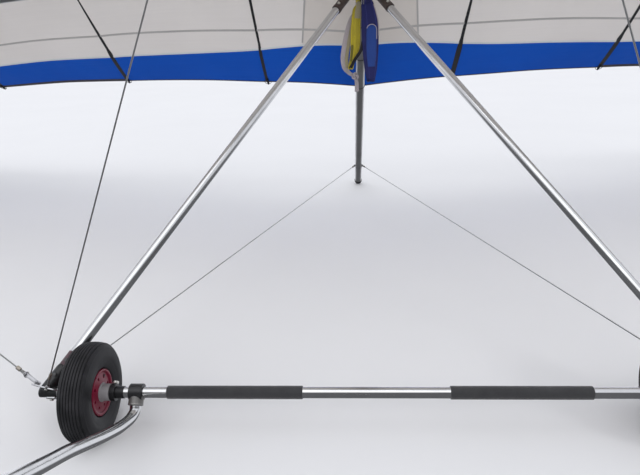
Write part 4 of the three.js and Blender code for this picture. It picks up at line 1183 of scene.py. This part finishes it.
for side, sign in SIDES:
    hub = Vector((sign * WHEEL_X, BAR_Y, BAR_Z))
    body = f"wheel_{side}"
    tyre = spun(both_faces(FLANK, tread()), hub, X, 96, closed=True)
    piece(f"tyre_rubber_{side}", "tyre", [TYRE], [tyre], f"tyre_{side}", body=body, sharp=28)
    spots = [Vector((a, b, 0.03)) for a, b in circle(HOLE_R, HOLES)]
    holes = joined([tube(spot, spot - Z * 0.06, 0.0042, 20) for spot in spots])
    parts = [moved(bored(spun(both_faces(DISH), closed=True, steps=96), holes), hub, X)]
    for k in range(SCREWS):
        turn = math.tau * (k + 0.5) / SCREWS
        spot = Vector((0, SCREW_AT * math.cos(turn), SCREW_AT * math.sin(turn)))
        parts += [spun(SCREW_HEAD, hub + spot + X * face * 0.0299, X * face, 10) for face in (-1, 1)]
    piece(f"rim_dish_{side}", "rim", [CRIMSON], parts, f"wheel_rim_{side}", body=body, sharp=30)
    piece(f"wheel_hub_{side}", "rim", [GREY_PLASTIC], [spun(HUB, hub, X * sign, 64, closed=True)],
          body=body, sharp=30)
    stem = hub + Vector((-sign * 0.014, 0, 0.0520))
    piece(f"tyre_valve_{side}", "black_plastic", [BLACK_PLASTIC], [spun(VALVE, stem, (-sign, 0, -0.7), 20)],
          body=body)
    inner = sign * (WHEEL_X - 0.067)
    clip = Vector((inner + sign * 0.0055, BAR_Y, BAR_Z))
    piece(f"wheel_stop_{side}", "black_plastic", [BLACK_PLASTIC, FASTENER],
          [spun(STOP, (inner, BAR_Y, BAR_Z), X * sign, 56, closed=True),
           (block((0.0110, 0.0130, 0.0080), clip + Z * 0.0245, 0.0012), 1),
           (bolt(clip + Vector((0, -0.0065, 0.0246)), -Y, 0.013, 0.004), 1)], f"wheel_collar_{side}")

# %% [markdown]
# Steel wires hold the whole glider in shape. Each stay is drawn straight between its fittings, and each end
# turns round a thimble and comes back into a pressed sleeve. The stay's own direction places the sleeve, so
# one helper makes every end.

# %% Stays
SLEEVE = [(0.0021, 0), (0.0034, 0.0003), (0.0038, 0.0016), (0.0034, 0.0042), (0.0038, 0.0064), (0.0034, 0.0090),
          (0.0038, 0.0116), (0.0038, 0.0144), (0.0034, 0.0157), (0.0021, 0.016)]
EYE_R = 0.0065


def thimble_end(at, away, hang):
    """A wire loop round a thimble at a fitting: away points along the stay, hang across the loop."""
    away = away.normalized()
    hang = (hang - away * hang.dot(away)).normalized()
    other = away.cross(hang)
    arc = [at - away * math.cos(a) * EYE_R + other * math.sin(a) * EYE_R
           for a in (math.radians(150) * (1 - k / 8) for k in range(17))]
    close = at + away * 0.026
    groove = [(a * 1.3, b * 0.5) for a, b in circle(0.0026, 8)]
    part = spun(SLEEVE, steps=18)
    bmesh.ops.scale(part, vec=(1.0, 1.5, 1.0), verts=part.verts)
    wire = [close + other * 0.0018] + arc + [close - other * 0.0018]
    return [swept(wire, circle(0.0017, 8), hang), (swept(arc, groove, hang), 2),
            (moved(part, close, turn=axes(hang, other, away)), 1)]


def link_plates(foot, away, hang, long):
    """Two short steel straps from a tang to a thimble, with a pin through each end."""
    hang = (hang - away * hang.dot(away)).normalized()
    turn = axes(away, hang.cross(away), hang)
    outline = oblong(long + 0.0060, 0.0044, x_low=-0.0044)
    straps = [plate(outline, 0.0018, foot + hang * out, 0.0042, 0.0004, turn) for out in (-0.0042, 0.0042)]
    pins = [bolt(foot + away * down + hang * 0.0052, hang, 0.0104, 0.0045) for down in (0.0, long)]
    return [(part, 2) for part in straps + pins]


def stay(name, node, start, end, hang=X, trims=(0, 0), link=False):
    """A wire between two points, whose ends stop short by trims for their fittings."""
    start, end = Vector(start), Vector(end)
    away = (end - start).normalized()
    low, high = start + away * trims[0], end - away * trims[1]
    parts = link_plates(start, away, hang, trims[0]) if link else []
    parts.append(swept([low, (start + end) / 2, high], circle(0.0019, 12), hang))
    parts += thimble_end(low, away, hang) + thimble_end(high, -away, hang)
    piece(name, "stay", [STRAND, SWAGE, PLATE], parts, node)


TAIL_Y, KING_WIRE = 1.560, KING_TOP + 0.012
NOSE_WIRE = Vector((0.0104, NOSE_Y - 0.002, -SPAR_R - 0.015))
TAIL_WIRE = Vector((KEEL_R + 0.0026, TAIL_Y, 0))
SIDE_TOP = spar_axis(JUNCTION_X - 0.010) + Vector((0, 0.018, -SPAR_R - 0.018))
UPPER_END = spar_axis(JUNCTION_X - 0.060) + Z * (SPAR_R + 0.0028)
for side, sign in SIDES:
    front_foot = flip(foot_on_tang(CORNER.x - 0.015, BAR_Y - 0.025, NOSE_WIRE, 0.002), sign)
    rear_foot = flip(foot_on_tang(CORNER.x - 0.003, BAR_Y + 0.026, TAIL_WIRE, 0.002), sign)
    side_foot = flip(foot_on_tang(CORNER.x + 0.028, BAR_Y, SIDE_TOP, 0.0045), sign)
    stay(f"front_stay_{side}", f"lower_front_stay_{side}", front_foot, flip(NOSE_WIRE, sign))
    stay(f"rear_stay_{side}", f"lower_rear_stay_{side}", rear_foot, flip(TAIL_WIRE, sign))
    stay(f"side_stay_{side}", f"lower_side_stay_{side}", side_foot, flip(SIDE_TOP, sign), Y,
         (0.046, 0.0155), True)
    stay(f"top_side_stay_{side}", f"upper_side_stay_{side}", flip((0.0305, 0, KING_WIRE), sign),
         flip(UPPER_END, sign), Y, (0.0025, 0))
stay("top_front_stay", "upper_front_stay", (0, -0.0305, KING_WIRE), (0, NOSE_Y + 0.020, SPAR_R + 0.0122),
     trims=(0.0016, 0.001))
stay("top_rear_stay", "upper_rear_stay", (0, 0.0305, KING_WIRE), (0, TAIL_Y, KEEL_R + 0.0025),
     trims=(0.0025, 0))

button = [(0, 0), (0.004, 0), (0.0055, 0.002), (0.0055, 0.004), (0.002, 0.007), (0, 0.007)]
parts = []
for _, sign in SIDES:
    for x in BATTENS[:3]:
        end = cloth_point(sign * x, 0.030, 0.004, slack=False)
        parts.append(swept([(0, 0.016, KING_TOP - 0.06), end], circle(0.0009, 6)))
        parts.append((spun(button, end - Z * 0.0035, Z, 16), 1))
line_ring = [(0.0145, 0), (0.0175, 0), (0.0180, 0.002), (0.0175, 0.010), (0.0145, 0.010)]
parts.append((spun(line_ring, (0, 0, KING_TOP - 0.066), Z, 40, closed=True), 1))
piece("luff_lines", "stay", [BLACK_CLOTH, BLACK_PLASTIC], parts)

# %% [markdown]
# The steel plates are cut, drilled and bolted. The nose has two of them with the spars between, the crossbar
# has one at each end and a saddle on the keel, and a bolt through the keel near the tail takes the rear wires.

# %% Plates and brackets
plate_half, front, back = 0.095, NOSE_Y - 0.040, NOSE_Y + 0.150
nose = [(-0.034, front), (0.034, front), (plate_half, front + 0.060), (plate_half + 0.045, back),
        (-plate_half - 0.045, back), (-plate_half, front + 0.060)]
parts = [plate(nose, 0.0039, (0, 0, z), 0.012) for z in (-SPAR_R - 0.0023, SPAR_R + 0.0065)]
parts += [block((0.060, 0.0040, 0.061), (0, front + 0.002, 0.002), 0.0012),
          block((0.016, 0.040, 0.017), (0, front + 0.040, -SPAR_R - 0.0095), 0.002)]
spots = [flip(spar_axis(out), sign) for _, sign in SIDES for out in (0.090, 0.150)] + [(0, NOSE_Y + 0.060, 0)]
parts += [(bolt((x, y, SPAR_R + 0.0086), Z, 0.0392 + SPAR_R, 0.008), 1) for x, y, _ in spots]
piece("nose_plates", "steel", [PLATE, FASTENER], parts, "nose_plate")

saddle_y = CROSS_ROOT.y
parts = [block((0.120, 0.048, 0.0080), (0, saddle_y, 0.0265)),
         block((0.016, 0.046, 0.060), (0, saddle_y, 0.054)),
         plate(oblong(0.060, 0.024), 0.003, (0, saddle_y, 0.0855), 0.008)]
parts += [(bolt((x, saddle_y, 0.087), Z, 0.066, 0.008), 1) for x in (-0.046, 0.046)]
piece("crossbar_saddle", "steel", [PLATE, FASTENER], parts, "crossbar_centre_bracket")

CROSS_WAY = (CROSS_TIP - CROSS_ROOT).normalized()
middle = CROSS_TIP + CROSS_WAY * 0.060 - Z * (CROSS_R + 0.0032)
turn = Matrix.Rotation(math.atan2(CROSS_WAY.y, CROSS_WAY.x), 4, "Z")
turn @= Matrix.Rotation(-math.asin(CROSS_WAY.z), 4, "Y")
for side, sign in SIDES:
    parts = [plate(oblong(0.150, 0.028), 0.004, middle, 0.012, turn=turn)]
    for shift in (-0.125, -0.075):
        top = middle + CROSS_WAY * shift + Z * (2 * CROSS_R + 0.0052)
        parts.append((bolt(top, Z, 2 * CROSS_R + 0.0072, 0.008), 1))
    parts.append((bolt(middle + CROSS_WAY * 0.100 - Z * 0.002, -Z, 0.0, 0.008, nut=False), 1))
    parts.append(block((0.024, 0.006, 0.030), SIDE_TOP + Z * 0.003))
    piece(f"junction_plate_{side}", "steel", [PLATE, FASTENER], parts, f"crossbar_plate_{side}", sign=sign)

wire_band = [(KEEL_R + 0.0002, 0), (KEEL_R + 0.0012, 0.0004), (KEEL_R + 0.0012, 0.0156),
             (KEEL_R + 0.0002, 0.016)]
piece("tail_wire_band", "steel", [PLATE, FASTENER],
      [(bolt((KEEL_R + 0.001, TAIL_Y, 0), X, 2 * KEEL_R + 0.002), 1),
       spun(wire_band, (0, TAIL_Y - 0.008, 0), Y, 64, closed=True)])

skid = [(SKID_R * math.sin(a), SKID_R * math.cos(a)) for a in evenly(0, math.pi / 2, 12)]
skid += [(SKID_R, -0.010), (SKID_R - 0.001, -0.0136), (0, -0.0136)]
ridge = [(SKID_R - 0.0002, -0.006), (SKID_R + 0.0012, -0.005), (SKID_R + 0.0012, -0.002),
         (SKID_R - 0.0002, -0.001)]
piece("tail_skid_cap", "black_plastic", [BLACK_PLASTIC],
      [spun(skid, (0, SKID_Y, 0), Y, 48), spun(ridge, (0, SKID_Y, 0), Y, 48, closed=True)], "keel_tail_skid")
print("plates done")

# %% [markdown]
# The cloth fin between the sail and the keel keeps the middle of the sail down. It is one upright sheet with
# a webbing edge on the keel, laced round the tube.

# %% Keel pocket
FIN_START, FIN_END = 0.163, 0.797
fin = bench()
bmesh.ops.create_grid(fin, x_segments=30, y_segments=6, size=0.5)
for vert in fin.verts:
    y = FIN_START + (FIN_END - FIN_START) * (vert.co.x + 0.5)
    share = vert.co.y + 0.5
    low, top = KEEL_R + 0.0008, cloth_point(NEAR_ZERO, ROOT_TE - y, -0.0012).z
    sway = 0.0016 * math.sin(y * 23.0) * math.sin(math.pi * share)
    vert.co = Vector((sway, y, low + (top - low) * share))
lay_out(fin, lambda vert: (vert.co.y, vert.co.z))
bmesh.ops.solidify(fin, geom=fin.faces[:], thickness=0.0022)
edge_line = [(0.0011, y, KEEL_R + 0.0075) for y in (FIN_START, FIN_END)]
parts = [fin, (swept(edge_line, oblong(0.003, 0.007)), 1)]
for y in (0.26, 0.48, 0.70):
    lace = [Vector((math.sin(a) * (KEEL_R + 0.0012), y, -math.cos(a) * (KEEL_R + 0.0012)))
            for a in evenly(-math.pi * 0.93, math.pi * 0.93, 20)]
    parts.append((swept(lace, circle(0.0011, 8), Y), 1))
piece("keel_fin", "sailcloth", [PALE_CLOTH, BLACK_CLOTH], parts, "keel_pocket")

# %% [markdown]
# Webbing and a bent tube both follow a smooth curve through a few points. The centripetal kind of curve keeps
# to its points without swinging out between them when they lie at uneven distances.

# %% Smooth paths
def smooth_through(points, each=10):
    """A centripetal curve through the points, as a bent tube follows its bends."""
    points = [Vector(p) for p in points]
    ends = [points[0] * 2 - points[1]] + points + [points[-1] * 2 - points[-2]]
    out = []
    for p0, p1, p2, p3 in zip(ends, ends[1:], ends[2:], ends[3:]):
        t1 = (p1 - p0).length ** 0.5
        t2 = t1 + (p2 - p1).length ** 0.5
        t3 = t2 + (p3 - p2).length ** 0.5
        for k in range(each):
            t = t1 + (t2 - t1) * k / each
            a1 = p0.lerp(p1, t / t1)
            a2 = p1.lerp(p2, (t - t1) / (t2 - t1))
            a3 = p2.lerp(p3, (t - t2) / (t3 - t2))
            b1, b2 = a1.lerp(a2, t / t2), a2.lerp(a3, (t - t1) / (t3 - t1))
            out.append(b1.lerp(b2, (t - t1) / (t2 - t1)))
    return out + [points[-1]]


# %% [markdown]
# Hang straps are flat webbing, sewn into a loop that goes round the keel. With nobody in them they hang
# plumb, which on the parked glider is a slant toward the tail. Each one is a flat ring pulled round the
# whole loop: over the keel, down one side, round the fold at the foot and up again. Just under the keel it
# turns to face ahead. A narrow strap with a knot, a black tape and a bound flap are laid over them.

# %% Hang straps
AHEAD = Vector((0, math.cos(TIP_BACK), math.sin(TIP_BACK)))
KEEL_LAP, TWIST_END, WEB = KEEL_R + 0.0024, 0.040, 0.040
BACKUP_Y, MAIN_Y, SHORT_Y = 0.062, 0.106, 0.140


def flat(width, thick):
    """The section of a flat strap with round edges."""
    w, t = width / 2 - thick / 2, thick / 2
    right = [(w + t * math.cos(a), t * math.sin(a)) for a in evenly(-math.pi / 2, math.pi / 2, 4)]
    return right + [(-a, -b) for a, b in right]


def hung(x, y, down, out=0.0):
    """A point below the keel at y, down along the plumb line and out toward the front."""
    return Vector((x, y, -KEEL_LAP - 0.001)) + PLUMB * down - AHEAD * out


def strap_loop(y, on_keel, path, drift=0.0):
    """A webbing loop round the keel. path gives (distance down, x, width). drift moves the far layer aside."""
    fine = smooth_through([(x, width, down) for down, x, width in path], 6)[2:]
    sides = {}
    for layer in (1, -1):
        spots = [(Vector((layer * KEEL_LAP * math.sin(a), y, KEEL_LAP * math.cos(a))), Y, on_keel)
                 for a in evenly(0, math.radians(160), 12)]
        for x, width, down in fine:
            share = min(1, down / TWIST_END)
            quarter = share * math.pi / 2
            gap = 0.0018 + 0.0030 * (1 - share)
            thin = X * math.cos(quarter) - AHEAD * math.sin(quarter)
            slip = drift * min(1, down / 0.12) if layer < 0 else 0.0
            lean = AHEAD * math.cos(quarter) + X * math.sin(quarter)
            breadth = on_keel + (width - on_keel) * share
            spots.append((hung(x + slip, y, down) + thin * layer * gap, lean, breadth))
        sides[layer] = spots
    near, far = sides[1][-1], sides[-1][-1]
    foot = (near[0] + far[0]) / 2
    fold = [(foot + (near[0] - foot) * math.cos(a) + PLUMB * 0.0022 * math.sin(a), X, near[2])
            for a in (math.pi / 4, math.pi / 2, 3 * math.pi / 4)]
    spots, leans, widths = zip(*(sides[1] + fold + sides[-1][:0:-1]))
    scales = [(width / WEB, 1) for width in widths + widths[:1]]
    return swept(spots, flat(WEB, 0.0024), list(leans), scales, True)


def band(points, width, thick):
    """A loose length of webbing through the points."""
    return swept(smooth_through(points, 6), flat(width, thick), X)


wide = [(0, 0.006, 0.046), (0.020, 0.014, 0.046), (0.040, 0.021, 0.050), (0.070, 0.027, 0.058),
        (0.110, 0.032, 0.066), (0.160, 0.034, 0.066), (0.230, 0.035, 0.060), (0.290, 0.036, 0.048),
        (0.335, 0.036, 0.032)]
ARCH_X, ARCH_DOWN, ARCH_R = 0.038, 0.136, 0.0205
arch = evenly(0, math.pi / 2, 8)
flap = [hung(ARCH_X, BACKUP_Y, ARCH_DOWN - ARCH_R * math.cos(a), 0.0052) for a in arch]
flap += [hung(ARCH_X - 0.001, BACKUP_Y, down, 0.0052) for down in (0.165, 0.200, 0.240, 0.280)]
flap_wide = [(max(0.12, math.sin(a)), 1) for a in arch] + [(1, 1), (1, 1), (0.92, 1), (0.7, 1)]
edge = [hung(ARCH_X + ARCH_R * math.sin(a), BACKUP_Y, ARCH_DOWN - ARCH_R * math.cos(a), 0.0066)
        for a in evenly(-5 * math.pi / 12, math.pi / 2, 11)]
edge += [hung(ARCH_X + ARCH_R + 0.0002, BACKUP_Y, down, 0.0066) for down in (0.148, 0.160, 0.172)]
right_edge = [hung(x + width / 2, BACKUP_Y, down, 0.0018) for down, x, width in wide[2:6]]
piece("hang_loop_backup", "blue_webbing", [BLUE_WEB, BRIGHT_BLUE_WEB, PALE_WEB],
      [strap_loop(BACKUP_Y, 0.046, wide, -0.003), (swept(flap, flat(2 * ARCH_R, 0.0026), X, flap_wide), 1),
       (swept(edge, circle(0.0014, 10), Y), 2), (band(right_edge, 0.0050, 0.0042), 2)], "hang_strap_backup")

gathered = [(0, -0.006, 0.038), (0.020, -0.014, 0.036), (0.040, -0.020, 0.034), (0.100, -0.0225, 0.033),
            (0.165, -0.024, 0.032), (0.200, -0.030, 0.025), (0.230, -0.038, 0.017), (0.258, -0.045, 0.014)]
cover = [hung(x, MAIN_Y, down, out) for x, down, out in
         ((-0.006, 0.001, 0.020), (-0.009, 0.018, 0.014), (-0.0135, 0.036, 0.006), (-0.0160, 0.062, 0.0046))]
tape = [hung(x, y, down, out) for x, y, down, out in
        ((0.004, BACKUP_Y, 0.178, -0.006), (-0.006, MAIN_Y, 0.186, 0.030), (-0.030, MAIN_Y, 0.222, 0.012),
         (-0.047, MAIN_Y, 0.252, 0.006), (-0.052, MAIN_Y, 0.262, -0.008))]
# A band of that darker yellow along the main strap's left edge is painted shade, standing for the far layer's
# edge in shadow.
fold = [hung(x - width / 2 - 0.0010, MAIN_Y, down, 0.0040) for down, x, width in gathered[4:7]]
piece("hang_loop_main", "yellow_webbing", [YELLOW_WEB, TAN_WEB, BLACK_WEB, YELLOW_WEB_PAINTED_SHADE],
      [strap_loop(MAIN_Y, 0.038, gathered, -0.008),
       (swept(smooth_through(cover, 4), flat(0.029, 0.0030), X), 1),
       (band(tape, 0.013, 0.0022), 2), (band(fold, 0.0085, 0.0020), 3)], "hang_strap_main")

bowed = [(0, -0.006, 0.022), (0.020, -0.025, 0.023), (0.040, -0.040, 0.025), (0.075, -0.053, 0.027),
         (0.110, -0.062, 0.028), (0.160, -0.072, 0.029), (0.200, -0.077, 0.028), (0.235, -0.072, 0.023),
         (0.256, -0.056, 0.016), (0.268, -0.038, 0.014), (0.285, -0.026, 0.015), (0.332, -0.023, 0.018)]
lap = [hung(x + width / 2 - 0.002, SHORT_Y, down, 0.0048) for down, x, width in bowed[1:8]]
KNOT, KNOT_R, KNOT_DEEP = hung(-0.029, SHORT_Y, 0.270, 0.004), 0.0042, 0.0055
knot = []
for a in evenly(0, math.tau, 54)[:-1]:
    lobes = X * (math.sin(a) + 2 * math.sin(2 * a)) + PLUMB * (math.cos(a) - 2 * math.cos(2 * a))
    knot.append(KNOT + lobes * KNOT_R - AHEAD * math.sin(3 * a) * KNOT_DEEP)
oval = [(1.5 * a, b) for a, b in circle(0.0044, 10)]
piece("hang_loop_short", "grey_webbing", [PALE_WEB, TAN_WEB],
      [strap_loop(SHORT_Y, 0.022, bowed), (band(lap, 0.0150, 0.0022), 1),
       swept(knot, oval, [AHEAD] * len(knot), loop=True)], "hang_strap_short")
print("straps done")

# %% [markdown]
# The boom is a bent polished tube. Its path is a smooth curve through a few bends, taken once as points and
# then swept. A clamp with a bolt behind the bar holds it there, and a plate with a rubber pad ends it.

# %% Camera boom
BOOM_X, BOOM_R = -0.620, 0.014
CLAMP_FOOT = BAR_Z - 0.034
BOOM_END = Vector((-0.061, -1.722, -1.800))
bends = [
    (BOOM_X, BAR_Y, CLAMP_FOOT - 0.0004), (BOOM_X, BAR_Y, CLAMP_FOOT - 0.012), (-0.623, -0.228, -1.657),
    (-0.630, -0.272, -1.681), (-0.636, -0.348, -1.704), (-0.632, -0.447, -1.7225), (-0.613, -0.558, -1.7365),
    (-0.586, -0.701, -1.7575), (-0.524, -0.950, -1.7865), (-0.455, -1.180, -1.811), (-0.360, -1.430, -1.838),
    (-0.230, -1.620, -1.866), (-0.110, -1.708, -1.876), (-0.066, -1.721, -1.850),
    BOOM_END - Z * 0.020, BOOM_END,
]
piece("boom_tube", "tube", [POLISHED], [swept(smooth_through(bends), circle(BOOM_R, 48))], "camera_boom",
      body="boom")

ring = [(TUBE_R + SEAT, 0), (0.0212, 0), (0.0220, 0.0010), (0.0220, 0.0330), (0.0212, 0.0340),
        (TUBE_R + SEAT, 0.0340)]
ferrule = [(0, 0.0002), (0.0165, 0.0002), (0.0188, 0.0012), (0.0194, 0.0030)]
ferrule += [(0.0194 - 0.0007 * (k % 2), 0.0040 + 0.0012 * k) for k in range(15)]
ferrule += [(0.0184, 0.0225), (0.0170, 0.0240), (0, 0.0240)]
parts = [(spun(ring, (BOOM_X - 0.017, BAR_Y, BAR_Z), X, 64, closed=True), 2),
         spun(ferrule, (BOOM_X, BAR_Y, CLAMP_FOOT), Z, 48)]
parts += [(block((0.010, 0.014, 0.012), (BOOM_X + x, BAR_Y + 0.0250, BAR_Z)), 2) for x in (-0.0105, 0.0105)]
parts.append((bolt((BOOM_X + 0.0155, BAR_Y + 0.0255, BAR_Z), X, 0.031), 1))
piece("boom_clamp", "steel", [FERRULE, FASTENER, BLACK_PLASTIC], parts, "camera_boom_clamp",
      body="boom", sharp=38)

stud = [(0, 0), (0.0030, 0), (0.0032, 0.0004), (0.0032, 0.0046), (0.0026, 0.0050), (0, 0.0050)]
piece("boom_plate", "black_plastic", [BLACK_PLASTIC, FASTENER],
      [block((0.064, 0.048, 0.0030), BOOM_END + Z * 0.0021, 0.001),
       block((0.060, 0.044, 0.0026), BOOM_END + Z * 0.0047, 0.001),
       (spun(stud, BOOM_END + Z * 0.0050, Z, 20), 1)], "camera_plate", body="boom")
print("boom done")

# %% [markdown]
# The floor isn't part of the glider. The sail is cut cloth held stretched on the spars and battens.

# %% Floor
bm = bmesh.new()
bmesh.ops.create_grid(bm, x_segments=2, y_segments=2, size=120)
floor_mesh = bpy.data.meshes.new("floor")
bm.to_mesh(floor_mesh)
bm.free()
floor = placed("floor", floor_mesh)
floor.visible_glossy = False
material, tree, place, uv = blank("pale_floor", 0.85)
patches = use(tree, MOTTLE, Vector=place, Scale=0.8)
colour = blend_colours(tree, patches, (0.76, 0.76, 0.765), (0.74, 0.74, 0.745))
floor_mesh.materials.append(dressed(material, colour))
